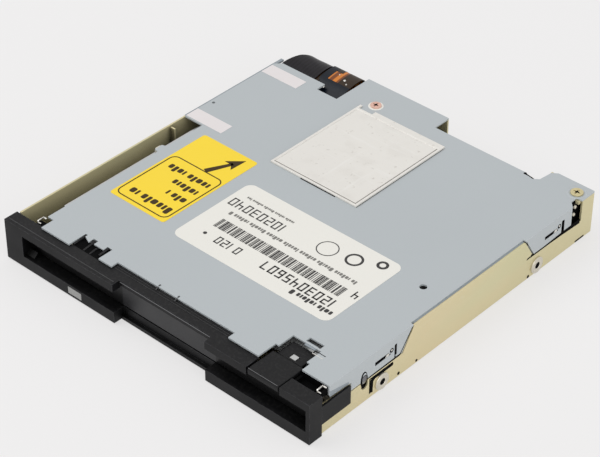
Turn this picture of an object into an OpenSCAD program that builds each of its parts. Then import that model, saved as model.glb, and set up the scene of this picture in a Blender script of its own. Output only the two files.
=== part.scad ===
// Slim notebook floppy disk drive for a 90 mm disk, top cover up, bezel at the front.
// The pieces are laid out from the bezel's front face, with Y to the rear and Z up from the
// underside. The whole drive is then shifted so that its origin is the middle of the underside.

/* [Body] */
// Width over the side walls
body_w = 96.8; // [96.4:0.1:97]
// Depth from the bezel's face to the rear step
overall_d = 104.4; // [104:0.1:106]
// Height from the underside to the raised plate
overall_h = 12.7; // [12.6:0.1:13.2]
// Thickness of the floor sheet
floor_t = 0.6; // [0.5:0.05:0.65]
// Thickness of the side walls
wall_t = 0.5; // [0.4:0.05:0.55]
// Thickness of the top cover
cover_t = 0.5; // [0.4:0.05:0.6]
// Thickness of the raised plate on the cover
patch_t = 0.5; // [0.4:0.05:0.6]

/* [Bezel] */
// How far the bezel stands past each side wall
bezel_over = 0.7; // [0.65:0.05:1.1]
// Height of the bezel
bezel_h = 11.6; // [11.4:0.05:11.7]
// Depth of the bezel's rails
bezel_d = 4.1; // [4.1:0.05:4.3]
// Lower edge of the disk slot
slot_low = 3.4; // [3:0.1:3.6]
// Upper edge of the disk slot
slot_high = 9.4; // [9.2:0.05:9.6]
// Wall left of the slot
slot_wall_left = 6; // [5:0.1:6.1]
// Wall right of the slot
slot_wall_right = 1.1; // [0.8:0.05:1.1]
// Left end of the thumb scoop
scoop_left = -11.9; // [-14:0.1:-10]
// Right end of the thumb scoop
scoop_right = 17.6; // [14:0.1:19]
// Depth of the thumb scoop
scoop_d = 2.3; // [1.5:0.1:2.4]
// Width of the indicator window
lens_w = 4.6; // [3:0.1:6]
// Height of the indicator window
lens_h = 2; // [1:0.1:2.1]

/* [Eject button] */
// Width of the button
button_w = 9.2; // [7:0.1:9.4]
// Middle of the button across the drive
button_x = 35.3; // [34:0.1:35.6]
// Height of the button
button_h = 1.65; // [1.2:0.05:1.7]
// Travel of the button
eject_travel = 3; // [2:0.1:3.5]

/* [Disk and holder] */
// Half of the body's width that the disk leaves free
disk_side = 3.4; // [3.3:0.05:3.9]
// Middle of the disk across the drive
disk_x = 2.45; // [2.3:0.05:2.5]
// Height of the disk space in the holder
holder_gap = 4.5; // [4.3:0.05:4.6]
// Thickness of the holder sheet
holder_t = 0.4; // [0.3:0.05:0.45]
// Drop of the holder as a disk loads
holder_drop = 1.8; // [1.2:0.1:1.9]
// Radius of the holder's pins
pin_r = 0.8; // [0.6:0.05:0.9]

/* [Spindle motor] */
// Distance from the spindle to the rear edge
spindle_in = 53.4; // [52.9:0.1:55.4]
// Radius of the spindle shaft
shaft_r = 1.5; // [1:0.05:1.6]
// Outer radius of the rotor
rotor_r = 18.7; // [18:0.1:19]
// Thickness of the rotor sheet
rotor_t = 0.4; // [0.3:0.05:0.45]
// Radius of the hub that carries the disk
hub_r = 12; // [11:0.1:14]
// Number of stator poles
pole_count = 12; // [9:3:12]

/* [Head feed] */
// Track radius at which the heads rest
track_r = 39.5; // [39:0.1:39.7]
// Travel of the heads towards the spindle
head_travel = 14.8; // [12:0.1:14.9]
// Outer radius of the lead screw
screw_r = 1.1; // [1:0.05:1.15]
// Radius of the guide rod
rod_r = 1; // [0.8:0.05:1.1]
// Running clearance of a shaft in its bore
run_gap = 0.05; // [0.03:0.01:0.08]

/* [Mounts] */
// Distance of the front mounting nuts behind the bezel's face
nut_front_y = 24.7; // [24:0.1:25.2]
// Distance between front and rear mounting nuts
nut_pitch = 56.9; // [56:0.1:57.5]
// Height of the mounting nuts above the underside
nut_z = 2.4; // [2.3:0.05:2.5]
// Outer radius of a mounting nut's flange
nut_r = 2.25; // [1.8:0.05:2.3]
// Radius of a nut's tapped hole
nut_hole_r = 0.8; // [0.6:0.05:1]

/* [Labels] */
// Thickness of the labels and tapes
label_t = 0.08; // [0.05:0.01:0.12]
// Width of the white label
label_w = 49.1; // [45:0.1:50]
// Height of the white label
label_h = 27.2; // [24:0.1:27.5]
// Width of the yellow label
sticker_w = 18.5; // [15:0.1:20]
// Height of the yellow label
sticker_h = 33; // [28:0.1:34]

/* [Hidden] */
$fn = 48;

// Overrun of every cut past the face that it opens, and the gap between nested sheets
cut = 0.5;
sheet_gap = 0.3;
eps_gap = 0.05;

// Body
half_w = body_w / 2;
spindle_y = overall_d - spindle_in;
wall_in = half_w - wall_t;
cover_z = overall_h - patch_t;
cover_low = cover_z - cover_t;
floor_front = bezel_d + sheet_gap;
back_y_in = 5.6;
back_y = overall_d - back_y_in;
step_left = -24.4;
step_right = 2.5;
tab_left = 35.6;
tab_y_in = 0.5;
tab_y = overall_d - tab_y_in;
rear_left_y_in = 9.7;
rear_left_y = overall_d - rear_left_y_in;
rear_wall_h = 6;

// Side wall and flange outline along the right side
flange_step_y = 14.4;
flange_front_z = 8.4;
flange_rise = 1;
flange_cut = 1.6;
flange_low = 6.2;
flange_slope_y = 31.7;
wall_full_y = 35.4;
wall_full_end_in = 27.6;
wall_full_end = overall_d - wall_full_end_in;
flange_rear_y_in = 24;
flange_rear_y = overall_d - flange_rear_y_in;
flange_end_y_in = 7.8;
flange_end_y = overall_d - flange_end_y_in;
edge_inset = 0.9;
channel_x_in = 6.9;
channel_x = -half_w + channel_x_in;
wide_left_in = 0.7;
wide_left = -half_w + wide_left_in;
widen_y_in = 44.7;
widen_y = overall_d - widen_y_in;
foot_in = 1;
shelf_t = 0.5;
shelf_in = 2;
shelf_l = 6;
rib_in = 5.2;
floor_corner = 1;

// Guide holes and latches in the right side
guide_y = 18.9;
pin_rest_z = 6.6;
guide_gap = 0.3;
relief_w = 0.45;
relief_y = 20.5;
relief_end = 28.7;
latch_y = 22.4;
latch_l = 4.8;
latch_z = 8.2;
latch_h = 0.9;
slit_w = 0.5;

// Bezel
bezel_half = half_w + bezel_over;
bezel_low = 0.2;
slot_left = -bezel_half + slot_wall_left;
slot_right = bezel_half - slot_wall_right;
scoop_rail_z = 10.2;
scoop_lip_z = 1.1;
scoop_band_d = 0.9;
hood_left = -16.5;
hood_right = 21;
hood_y = 6.3;
rail_slant = 3.2;
pocket_y = 2.6;
pocket_z = 10.1;
arm_front = bezel_d;
arm_end = 13.6;
arm_low = 3.4;
arm_high = 8.5;
arm_gap = 0.05;
arm_t = bezel_half - half_w - 2 * arm_gap;
ramp_w = 2.6;
ramp_h = 1.2;
lens_left = -27.7;
lens_low = 0.7;
lens_d = 4.3;
foot_w = 5;
foot_l = 2;
foot_x = [-36, 28];
clip_left = -29.6;
clip_w = 8.6;
clip_y = 8.3;

// Eject button and slide plate
button_low = 9.85;
button_d = 8.4;
button_gap = 0.4;
button_left = button_x - button_w / 2;
button_right = button_x + button_w / 2;
tongue_w = 7.3;
tongue_l = 5.6;
tongue_low = 10.55;
tongue_t = 0.65;
tongue_cut = 1.4;
eye_w = 1.9;
eye_l = 1.7;
eye_y = 9.1;
eye_shift = 0.35;
slide_low = 10;
slide_t = 0.5;
slide_front_gap = 0.2;
slide_front = button_d + tongue_l + slide_front_gap;
slide_rear_in = 32.4;
slide_rear = overall_d - slide_rear_in;
slide_right_in = 1.6;
slide_right = half_w - slide_right_in;
slide_tab_w = 4;
slide_wall_t = 0.5;
slide_wall_low = 4;
slide_wall_end_in = 38.4;
slide_wall_end = overall_d - slide_wall_end_in;
slide_window_share = 0.32;

// Disk holder
holder_front = 10.5;
holder_end_in = 10.4;
holder_end = overall_d - holder_end_in;
holder_side_gap = 0.1;
disk_w = body_w - 2 * disk_side;
disk_left = disk_x - disk_w / 2 - holder_side_gap;
disk_right = disk_x + disk_w / 2 + holder_side_gap;
holder_wall = 0.3;
holder_top = slide_low - slide_front_gap;
holder_under = holder_top - holder_t;
lip_top = holder_under - holder_gap;
band_low = 6.3;
lip_w = 2;
lip_start = 32;
lip_end_in = 28.4;
lip_end = overall_d - lip_end_in;
bay_left = -10;
bay_right = 8.5;
bay_y_in = 34.4;
bay_y = overall_d - bay_y_in;
pin_rear_in = 42.4;
pin_y = [guide_y, overall_d - pin_rear_in];

// Dust flap
flap_axis_y = 3.7;
flap_axis_z = 9.2;
flap_barrel_r = 0.45;
flap_pin_r = 0.3;
flap_t = 0.8;
flap_low = 3.7;
flap_end_gap = 0.3;
flap_pin_l = 0.6;

// Spindle motor, from the floor up
board_t = 0.4;
flange_r = 5;
flange_h = 0.5;
bearing_r = 3.6;
bearing_top = 2.5;
core_low = 1.5;
core_t = 0.5;
core_ring_r = 6.4;
pole_w = 1.6;
pole_r = 15.2;
pole_tip_w = 4.6;
pole_tip_t = 1;
coil_in = 8.4;
coil_out = 13.4;
coil_wall = 0.6;
coil_rise = 0.3;
magnet_low = 1.4;
magnet_t = 1.6;
magnet_gap = 0.05;
yoke_top = 3;
hub_t = 0.6;
shaft_top = 4.6;
shaft_rise = 0.25;
shaft_low = floor_t + shaft_rise;
drive_pin_r = 0.9;
drive_pin_x = 9.6;
drive_pin_h = 0.7;

// Boards
board_gap = 0.4;
main_left_in = 6.8;
main_left = -half_w + main_left_in;
main_right = -21;
main_front = 5;
main_rear_in = 2.4;
main_rear = overall_d - main_rear_in;
main_neck_y_in = 38.4;
main_neck_y = overall_d - main_neck_y_in;
main_neck_x = -26;
main_t = 0.7;
main_step_l = 3;
main_step_w = 8;
neck_slope = 4;
main_z = floor_t + board_gap;
pad_r = 1.6;
board_screw_r = 1.2;
board_screw_h = 0.5;
board_screw_shank_r = 0.55;
board_screw_in = 2.2;
board_screw_front = 26;
board_screw_mid = 40;
board_screw_rear_in = 14;
board_screw_at = [
  [main_left + board_screw_in, board_screw_front],
  [main_right - board_screw_in, board_screw_mid],
  [main_left + board_screw_in, main_rear - board_screw_rear_in]
];
chip_h = 0.8;
// Place and size of each chip, as shares of the board across and along
chip_shares = [
  [0.272, 0.423, 0.437, 0.093],
  [0.223, 0.588, 0.485, 0.072],
  [0.175, 0.278, 0.243, 0.072],
  [0.49, 0.175, 0.194, 0.041],
  [0.078, 0.753, 0.34, 0.052]
];
motor_left = -19;
motor_right_in = 3;
motor_right = half_w - motor_right_in;
motor_front = 8;
motor_rear_in = 38.4;
motor_rear = overall_d - motor_rear_in;
motor_wing_y = 30;
motor_wing_x = 24;
motor_step = 20;
sensor_w = 1.6;
sensor_h = 1;

// Sense switches
switch_w = 4.4;
switch_l = 3.4;
switch_top = 3.2;
plunger_r = 0.7;
plunger_top = 4.75;
plunger_travel = 1.2;
plunger_gap = 0.08;
plunger_left_in = 10.9;
plunger_left_y = 13;
plunger_right_in = 5.8;
plunger_right_y = 12.6;
plunger_apart = 5.6;
plunger_at = [
  [-half_w + plunger_left_in, plunger_left_y],
  [half_w - plunger_right_in, plunger_right_y],
  [half_w - plunger_right_in, plunger_right_y + plunger_apart]
];

// Head feed
screw_x = -17;
feed_z = 2.2;
screw_core_r = 0.9;
screw_end_r = 0.6;
screw_pitch = 1.25;
bracket_y_in = 34;
bracket_y = overall_d - bracket_y_in;
bracket_t = 1.6;
bracket_w = 5;
feed_start = bracket_y + bracket_t + board_gap;
feed_end_in = 6.8;
feed_end = overall_d - feed_end_in;
stepper_y_in = 6.4;
stepper_y = overall_d - stepper_y_in;
stepper_w = 13;
stepper_h = 8.6;
stepper_side_r = 2.6;
rod_x = 12;
rod_end_in = 6.8;
rod_end = overall_d - rod_end_in;
clamp_w = 4;
clamp_t = 1.8;
clamp_h = 3.2;
head_y = spindle_y + track_r;
carriage_low = 1;
carriage_top = 3.4;
carriage_left = -9;
carriage_right = 13.8;
carriage_front_l = 3.5;
carriage_front = head_y - carriage_front_l;
rod_spare = 2.6;
rod_start = carriage_front - head_travel - rod_spare;
carriage_rear_l = 4.6;
carriage_rear = head_y + carriage_rear_l;
post_left = -8;
post_right = 1.5;
post_y_in = 6.5;
post_y = overall_d - post_y_in;
post_rear_in = 3.6;
post_rear = overall_d - post_rear_in;
ear_t = 1.2;
arm_y_in = 5.1;
arm_y = overall_d - arm_y_in;
arm_z = 10.2;
arm_pin_r = 0.5;
arm_neck_in = 2;
arm_barrel_r = 0.95;
arm_low_z = 9.95;
arm_plate_t = 0.5;
arm_half = 4.2;
arm_front_l = 2.5;
arm_front_y = head_y - arm_front_l;
head_w = 3.1;
head_l = 3;
lower_head_top = 4.75;
upper_head_low = 9.4;
feed_pin_r = 0.3;
feed_gap = 0.15;
arm_leaf_t = 0.15;
arm_leaf_w = 3.4;

// Trigger lever
lever_x_in = 4.4;
lever_x = half_w - lever_x_in;
lever_y_in = 3.2;
lever_y = overall_d - lever_y_in;
lever_pin_r = 0.6;
lever_hub_r = 1.5;
lever_z = 3.6;
lever_t = 0.6;
finger_x_in = 11.1;
finger_x = half_w - finger_x_in;
finger_y_in = 6.2;
finger_y = overall_d - finger_y_in;
finger_r = 0.6;
finger_pad_r = 0.95;
finger_top = 8;
lever_w = 1.4;
lever_post_share = 0.8;

// Springs between the slide plate and the frame
spring_x = [18, 33];
spring_r = 0.55;
spring_wire_r = 0.11;
spring_turns = 12;
spring_steps = 10;
spring_sides = 6;
spring_bite = 0.6;
spring_start = slide_rear - spring_bite;
spring_l = 12;
spring_z = 11;
spring_hook_w = 0.5;

// Rear flexes
connector_left_in = 4.4;
connector_left = -half_w + connector_left_in;
connector_w = 18;
connector_y_in = 6.8;
connector_y = overall_d - connector_y_in;
connector_l = 3.6;
connector_h = 2.6;
ribbon_left_in = 1.8;
ribbon_left = -half_w + ribbon_left_in;
ribbon_w = 13;
ribbon_t = 0.45;
ribbon_y_in = 5.2;
ribbon_y = overall_d - ribbon_y_in;
ribbon_z = 6.5;
ribbon_r = 4.9;
film_left_in = 15.6;
film_left = -half_w + film_left_in;
film_w = 6.6;
film_t = 0.25;
film_r = 4.5;
arc_start = -50;
arc_end = 165;
arc_step = 15;

// Cover
notch_y = 8.7;
front_y = 3.3;
front_left_in = 8.9;
front_left = -half_w + front_left_in;
clip_notch_left = -29.9;
clip_notch_right = -20.8;
front_mid_y = 4.2;
notch_side_gap = 0.5;
button_notch_y = 9.8;
tongue_notch_y = 14.5;
front_right_y = 7.2;
bridge_w = 3.4;
bridge_l = 1.5;
dot_r = 0.45;
dot_x_in = 1.8;
dot_x = -half_w + dot_x_in;
dot_y_in = 35.4;
dot_y = overall_d - dot_y_in;
peep_r = 0.95;
peep_x = 41.5;
peep_y = 47.1;
bump_y = 43.8;
bump_l = 3.2;
bump_w = 1.3;
bump_slope = 0.4;
nick_l = 1;
nick_d = 0.8;
nick_w = 4;
flex_notch_l = 3.1;
flex_notch_w = 6.8;

// Cover screws
brass_x_in = 2.7;
brass_x = half_w - brass_x_in;
brass_y_in = 4.1;
brass_y = overall_d - brass_y_in;
brass_r = 1.6;
copper_x = -14.8;
copper_y_in = 8.4;
copper_y = overall_d - copper_y_in;
copper_r = 1.45;
head_t = 0.42;
cross_w = 0.4;
cross_t = 0.3;
cross_share = 0.6;
screw_shank_r = 0.75;
screw_shank_l = 1.6;
lug_w = 4.4;
lug_t = 0.8;

// Raised plate
patch_left = -17.7;
patch_right = 10.2;
patch_front_in = 44.9;
patch_front = overall_d - patch_front_in;
patch_rear_in = 11.1;
patch_rear = overall_d - patch_rear_in;
patch_notch_w = 4.4;
patch_notch_l = 1.4;
patch_rim = 0.65;
patch_groove = 0.25;
patch_groove_t = 0.15;
patch_window_inset = 3;

// Labels
label_left = -15.3;
label_front = 22.5;
label_corner = 2.2;
sticker_left = -38;
sticker_front = 24;
sticker_corner = 0.8;
tape_w = 12.2;
tape_l = 4.2;
tape_in = 0.1;
tape_left = wide_left + tape_in;
tape_front_in = 0.4;
tape_rear_in = 6.7;
tape_y = [widen_y + tape_front_in, rear_left_y - tape_rear_in];

// Box from its low and high limits along each axis
module block(x, y, z) {
  translate([x[0], y[0], z[0]])
    cube([x[1] - x[0], y[1] - y[0], z[1] - z[0]]);
}

// Outline in Y and Z, extruded across the drive
module side_shape(x, points) {
  translate([x[0], 0, 0])
    rotate([90, 0, 90])
      linear_extrude(x[1] - x[0])
        polygon(points);
}

// Outline in X and Y, extruded upwards
module flat_shape(z, points) {
  translate([0, 0, z[0]])
    linear_extrude(z[1] - z[0])
      polygon(points);
}

// Round bars along the three axes
module bar_x(y, z, r, x) {
  translate([x[0], y, z])
    rotate([0, 90, 0])
      cylinder(h = x[1] - x[0], r = r);
}

module bar_y(x, z, r, y) {
  translate([x, y[1], z])
    rotate([90, 0, 0])
      cylinder(h = y[1] - y[0], r = r);
}

module bar_z(x, y, r, z) {
  translate([x, y, z[0]])
    cylinder(h = z[1] - z[0], r = r);
}

// Slab with round corners, used for labels
module rounded_slab(x, y, z, r) {
  union() {
    block([x[0] + r, x[1] - r], y, z);
    block(x, [y[0] + r, y[1] - r], z);
    for (cx = [x[0] + r, x[1] - r], cy = [y[0] + r, y[1] - r])
      bar_z(cx, cy, r, z);
  }
}

// Shift from the bezel's face to the middle of the underside
module seat() {
  translate([0, -overall_d / 2, 0])
    children();
}

// Right wall of the frame, with the gaps that the cover's flanges fill
module right_wall() {
  difference() {
    side_shape([wall_in, half_w], [
      [floor_front, 0],
      [floor_front, flange_front_z - sheet_gap],
      [flange_step_y - sheet_gap, flange_front_z - sheet_gap],
      [flange_step_y - sheet_gap, flange_low - sheet_gap],
      [flange_slope_y + sheet_gap, flange_low - sheet_gap],
      [wall_full_y + sheet_gap, cover_low],
      [wall_full_end - sheet_gap, cover_low],
      [flange_rear_y - sheet_gap, flange_low - sheet_gap],
      [back_y + sheet_gap, flange_low - sheet_gap],
      [back_y + sheet_gap, cover_low],
      [tab_y, cover_low],
      [tab_y, 0]
    ]);
    guide_hole();
    block([wall_in - cut, half_w + cut], [relief_y, relief_y + relief_w],
          [floor_t + relief_w, nut_z + nut_r + 2 * relief_w]);
    block([wall_in - cut, half_w + cut], [relief_y, relief_end],
          [nut_z + nut_r + relief_w, nut_z + nut_r + 2 * relief_w]);
    for (y = [nut_front_y, nut_front_y + nut_pitch])
      bar_x(y, nut_z, nut_r - relief_w, [wall_in - cut, half_w + cut]);
  }
}

// Upright hole that guides a holder pin
module guide_hole() {
  r = pin_r + guide_gap;
  block([wall_in - cut, half_w + cut], [guide_y - r, guide_y + r],
        [pin_rest_z - holder_drop, pin_rest_z]);
  for (z = [pin_rest_z - holder_drop, pin_rest_z])
    bar_x(guide_y, z, r, [wall_in - cut, half_w + cut]);
}

module left_wall() {
  difference() {
    side_shape([-half_w, -wall_in], [
      [floor_front, 0],
      [floor_front, cover_low],
      [rear_left_y, cover_low],
      [rear_left_y, rear_wall_h],
      [overall_d - foot_in, rear_wall_h / 2],
      [overall_d - foot_in, 0]
    ]);
    for (y = [nut_front_y, nut_front_y + nut_pitch])
      bar_x(y, nut_z, nut_r - relief_w, [-half_w - cut, -wall_in + cut]);
  }
}

module floor_sheet() {
  difference() {
    flat_shape([0, floor_t], [
      [-half_w, floor_front],
      [half_w, floor_front],
      [half_w, tab_y],
      [tab_left, tab_y],
      [tab_left, back_y],
      [step_right, back_y],
      [step_right, overall_d],
      [-half_w + floor_corner, overall_d],
      [-half_w, overall_d - floor_corner]
    ]);
    for (at = board_screw_at)
      bar_z(at[0], at[1], board_screw_shank_r + run_gap, [-cut, floor_t + cut]);
    for (x = [screw_x, disk_x, rod_x])
      block([x - pole_w, x + pole_w], [bracket_y + bracket_w, feed_end - bracket_w],
            [-cut, floor_t + cut]);
  }
}

// Rear walls, shelves that carry the cover and lugs for its screws
module frame_tabs() {
  block([step_left, step_right], [overall_d - wall_t, overall_d], [0, cover_low]);
  block([step_right + sheet_gap, tab_left], [back_y - wall_t, back_y], [0, rear_wall_h]);
  block([tab_left, half_w], [tab_y - wall_t, tab_y], [0, cover_low]);
  block([wall_in - shelf_t * 3, wall_in], [wall_full_y + shelf_in, wall_full_y + shelf_in + shelf_l],
        [cover_low - shelf_t, cover_low]);
  block([wall_in - shelf_t * 3, wall_in], [wall_full_end - shelf_in - shelf_l, wall_full_end - shelf_in],
        [cover_low - shelf_t, cover_low]);
  block([-wall_in, wide_left + shelf_t * 6], [widen_y + shelf_in, widen_y + shelf_in + shelf_l],
        [cover_low - shelf_t, cover_low]);
  block([-wall_in, wide_left + shelf_t * 6], [rear_left_y - shelf_in - shelf_l, rear_left_y - shelf_in],
        [cover_low - shelf_t, cover_low]);
  block([-wall_in, -wall_in + shelf_t * 3], [widen_y - rib_in, widen_y - rib_in + wall_t],
        [floor_t, cover_low - shelf_t]);
  difference() {
    block([brass_x - lug_w / 2, wall_in], [brass_y - lug_w / 2, tab_y],
          [cover_low - lug_t, cover_low]);
    bar_z(brass_x, brass_y, screw_shank_r + run_gap, [cover_low - lug_t - cut, cover_low + cut]);
  }
  difference() {
    block([copper_x - lug_w / 2, copper_x + lug_w / 2], [copper_y + cross_w - lug_w / 2, overall_d],
          [cover_low - lug_t, cover_low]);
    bar_z(copper_x, copper_y, screw_shank_r + run_gap,
          [cover_low - lug_t - cut, cover_low + cut]);
  }
  for (x = spring_x) {
    block([x - spring_hook_w, x + spring_hook_w],
          [spring_start + spring_l, back_y], [cover_low - shelf_t, cover_low]);
    block([x - spring_hook_w, x + spring_hook_w], [back_y - wall_t, back_y],
          [rear_wall_h, cover_low]);
  }
  for (at = board_screw_at)
    difference() {
      bar_z(at[0], at[1], pad_r, [floor_t, main_z]);
      bar_z(at[0], at[1], board_screw_shank_r + run_gap, [floor_t - cut, main_z + cut]);
    }
}

module chassis_frame() {
  color([0.78, 0.75, 0.6])
    seat()
      union() {
        floor_sheet();
        right_wall();
        left_wall();
        frame_tabs();
      }
}

// One tapped nut, pressed into a side wall from outside
module side_nut(side, y) {
  flange_t = bezel_half - half_w - 2 * arm_gap;
  inner = wall_in - 4 * relief_w;
  mirror([side < 0 ? 1 : 0, 0, 0])
    difference() {
      union() {
        bar_x(y, nut_z, nut_r, [half_w, half_w + flange_t]);
        bar_x(y, nut_z, nut_r - relief_w - eps_gap, [inner, half_w + flange_t / 2]);
      }
      bar_x(y, nut_z, nut_hole_r, [inner - cut, half_w + flange_t + cut]);
    }
}

module side_nuts() {
  color([0.85, 0.83, 0.76])
    seat()
      for (side = [-1, 1], y = [nut_front_y, nut_front_y + nut_pitch])
        side_nut(side, y);
}

module cover_plate() {
  notch_left = button_left - notch_side_gap;
  notch_right = button_right + notch_side_gap;
  tongue_left = button_x - tongue_w / 2 - notch_side_gap;
  tongue_right = button_x + tongue_w / 2 + notch_side_gap;
  flat_shape([cover_low, cover_z], [
    [front_left, front_y],
    [clip_notch_left, front_y],
    [clip_notch_left, notch_y],
    [clip_notch_right, notch_y],
    [clip_notch_right, front_mid_y],
    [hood_left, front_mid_y],
    [hood_left, hood_y],
    [hood_right, hood_y],
    [hood_right, front_mid_y],
    [notch_left, front_mid_y],
    [notch_left, button_notch_y],
    [tongue_left, button_notch_y],
    [tongue_left, tongue_notch_y],
    [tongue_right, tongue_notch_y],
    [tongue_right, button_notch_y],
    [notch_right, button_notch_y],
    [notch_right, front_right_y],
    [half_w, front_right_y],
    [half_w, wall_full_y],
    [half_w - edge_inset, wall_full_y],
    [half_w - edge_inset, wall_full_end],
    [half_w, wall_full_end],
    [half_w, flange_end_y - flange_cut],
    [half_w - flange_cut, flange_end_y],
    [half_w - flange_cut, back_y],
    [half_w, back_y],
    [half_w, tab_y],
    [tab_left + 2 * nick_l, tab_y],
    [tab_left + nick_l / 2, tab_y - nick_l],
    [tab_left, back_y],
    [tab_left - nick_l, back_y - nick_d],
    [tab_left - nick_w, back_y - nick_d],
    [tab_left - nick_w, back_y],
    [step_right, back_y],
    [step_right, overall_d],
    [step_left, overall_d],
    [step_left, rear_left_y - flex_notch_l],
    [step_left - flex_notch_w, rear_left_y - flex_notch_l],
    [step_left - flex_notch_w, rear_left_y],
    [wide_left + flange_cut, rear_left_y],
    [wide_left, rear_left_y - flange_cut],
    [wide_left, widen_y],
    [channel_x, widen_y],
    [channel_x, bump_y + bump_l],
    [channel_x - bump_w, bump_y + bump_l - bump_slope],
    [channel_x - bump_w, bump_y + bump_slope],
    [channel_x, bump_y],
    [channel_x, front_right_y],
    [front_left, front_right_y]
  ]);
}

module top_cover() {
  side = [wall_in, half_w];
  front_flange = [
    [front_right_y, cover_z],
    [front_right_y, flange_front_z + flange_rise],
    [flange_step_y, flange_front_z],
    [flange_step_y, flange_low],
    [flange_slope_y, flange_low],
    [wall_full_y - sheet_gap, cover_low],
    [wall_full_y, cover_z]
  ];
  rear_flange = [
    [wall_full_end, cover_z],
    [wall_full_end + sheet_gap, cover_low],
    [flange_rear_y, flange_low],
    [flange_end_y - flange_cut, flange_low],
    [flange_end_y - flange_cut, cover_z]
  ];
  color([0.72, 0.75, 0.76])
    seat()
      difference() {
        union() {
          cover_plate();
          side_shape(side, front_flange);
          side_shape(side, rear_flange);
        }
        guide_hole();
        for (y = [latch_y, flange_rear_y + (latch_y - flange_step_y) / 2]) {
          block([wall_in - cut, half_w + cut], [y, y + latch_l], [latch_z, latch_z + latch_h]);
          bar_x(y + latch_l + latch_h, latch_z + latch_h, latch_h / 2 + slit_w / 4,
                [wall_in - cut, half_w + cut]);
          block([wall_in - cut, half_w + cut],
                [y + latch_l + 2 * latch_h, y + latch_l + 2 * latch_h + slit_w],
                [flange_low - cut, latch_z + 2 * latch_h]);
        }
        bar_z(dot_x, dot_y, dot_r, [cover_low - cut, cover_z + cut]);
        bar_z(peep_x, peep_y, peep_r, [cover_low - cut, cover_z + cut]);
        bar_z(brass_x, brass_y, screw_shank_r + run_gap, [cover_low - cut, cover_z + cut]);
        bar_z(copper_x, copper_y, screw_shank_r + run_gap, [cover_low - cut, cover_z + cut]);
        block([button_x - bridge_w / 4, button_x + bridge_w],
              [tongue_notch_y + slit_w, tongue_notch_y + slit_w + bridge_l],
              [cover_low - cut, cover_z + cut]);
        block([patch_left + patch_window_inset, patch_right - patch_window_inset],
              [patch_front + patch_window_inset, patch_rear - patch_window_inset],
              [cover_low - cut, cover_z + cut]);
      }
}

// Cross-head screw that holds the cover down
module cover_screw(x, y, r) {
  difference() {
    union() {
      bar_z(x, y, r, [cover_z, cover_z + head_t]);
      bar_z(x, y, screw_shank_r, [cover_low - screw_shank_l, cover_z + head_t / 2]);
    }
    for (turn = [0, 90])
      translate([x, y, cover_z + head_t - cross_t])
        rotate([0, 0, turn])
          translate([-r * cross_share, -cross_w / 2, 0])
            cube([2 * r * cross_share, cross_w, cross_t + cut]);
  }
}

module brass_screw() {
  color([0.82, 0.68, 0.36])
    seat()
      cover_screw(brass_x, brass_y, brass_r);
}

module copper_screw() {
  color([0.78, 0.45, 0.36])
    seat()
      cover_screw(copper_x, copper_y, copper_r);
}

module cover_patch() {
  color([0.89, 0.88, 0.86])
    seat()
      difference() {
        block([patch_left, patch_right], [patch_front, patch_rear], [cover_z, overall_h]);
        block([copper_x - patch_notch_w / 2, copper_x + patch_notch_w / 2],
              [patch_rear - patch_notch_l, patch_rear + cut], [cover_z - cut, overall_h + cut]);
        difference() {
          block([patch_left + patch_rim, patch_right - patch_rim],
                [patch_front + patch_rim, patch_rear - patch_notch_l - patch_rim],
                [overall_h - patch_groove_t, overall_h + cut]);
          block([patch_left + patch_rim + patch_groove, patch_right - patch_rim - patch_groove],
                [patch_front + patch_rim + patch_groove,
                 patch_rear - patch_notch_l - patch_rim - patch_groove],
                [overall_h - patch_groove_t - cut, overall_h + 2 * cut]);
        }
      }
}

module front_bezel() {
  notch_left = button_left - button_gap;
  notch_right = button_right + button_gap;
  color([0.16, 0.16, 0.17])
    seat()
      union() {
        difference() {
          union() {
            block([-bezel_half, bezel_half], [0, bezel_d], [bezel_low, bezel_h]);
            block([hood_left, hood_right], [bezel_d - cut, hood_y], [scoop_rail_z, bezel_h]);
          }
          // Disk slot and the pocket behind the upper rail that holds the flap
          block([slot_left, slot_right], [-cut, bezel_d + cut], [slot_low, slot_high]);
          block([slot_left, slot_right], [pocket_y, bezel_d + cut], [slot_low, pocket_z]);
          for (side = [slot_left - flap_pin_l, slot_right - cut])
            bar_x(flap_axis_y, flap_axis_z, flap_pin_r + run_gap,
                  [side, side + flap_pin_l + cut]);
          // Thumb scoop with a lip at the bottom and a thin rail at the top
          block([scoop_left, scoop_right], [-cut, scoop_d], [-cut, bezel_h + cut]);
          block([scoop_left, scoop_right], [-cut, scoop_d + scoop_band_d],
                [scoop_lip_z, scoop_rail_z]);
          side_shape([scoop_right - cut, scoop_right + rail_slant], [
            [-cut, slot_high - cut],
            [-cut, slot_high + eps_gap],
            [scoop_d, slot_high + eps_gap],
            [scoop_d, slot_high - cut]
          ]);
          block([notch_left, notch_right], [-cut, bezel_d + cut], [slot_high - cut, bezel_h + cut]);
          block([lens_left - eps_gap, lens_left + lens_w + eps_gap], [-cut, bezel_d + cut],
                [lens_low - eps_gap, lens_low + lens_h + eps_gap]);
        }
        // Ramp at the slot's lower left
        side_shape([slot_left, slot_left + ramp_w], [
          [scoop_d / 2, slot_low],
          [scoop_d, slot_low + ramp_h],
          [scoop_d, slot_low]
        ]);
        // Arms along both side walls and feet over the floor
        for (side = [0, 1])
          mirror([side, 0, 0])
            block([half_w + arm_gap, half_w + arm_gap + arm_t], [arm_front - cut, arm_end],
                  [arm_low, arm_high]);
        for (x = foot_x)
          block([x, x + foot_w], [bezel_d - cut, bezel_d + foot_l],
                [floor_t + eps_gap, slot_low - cut]);
        // Catches under the cover's front notch
        block([clip_left, clip_left + clip_w], [bezel_d - cut, clip_y], [pocket_z, bezel_h]);
      }
}

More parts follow.
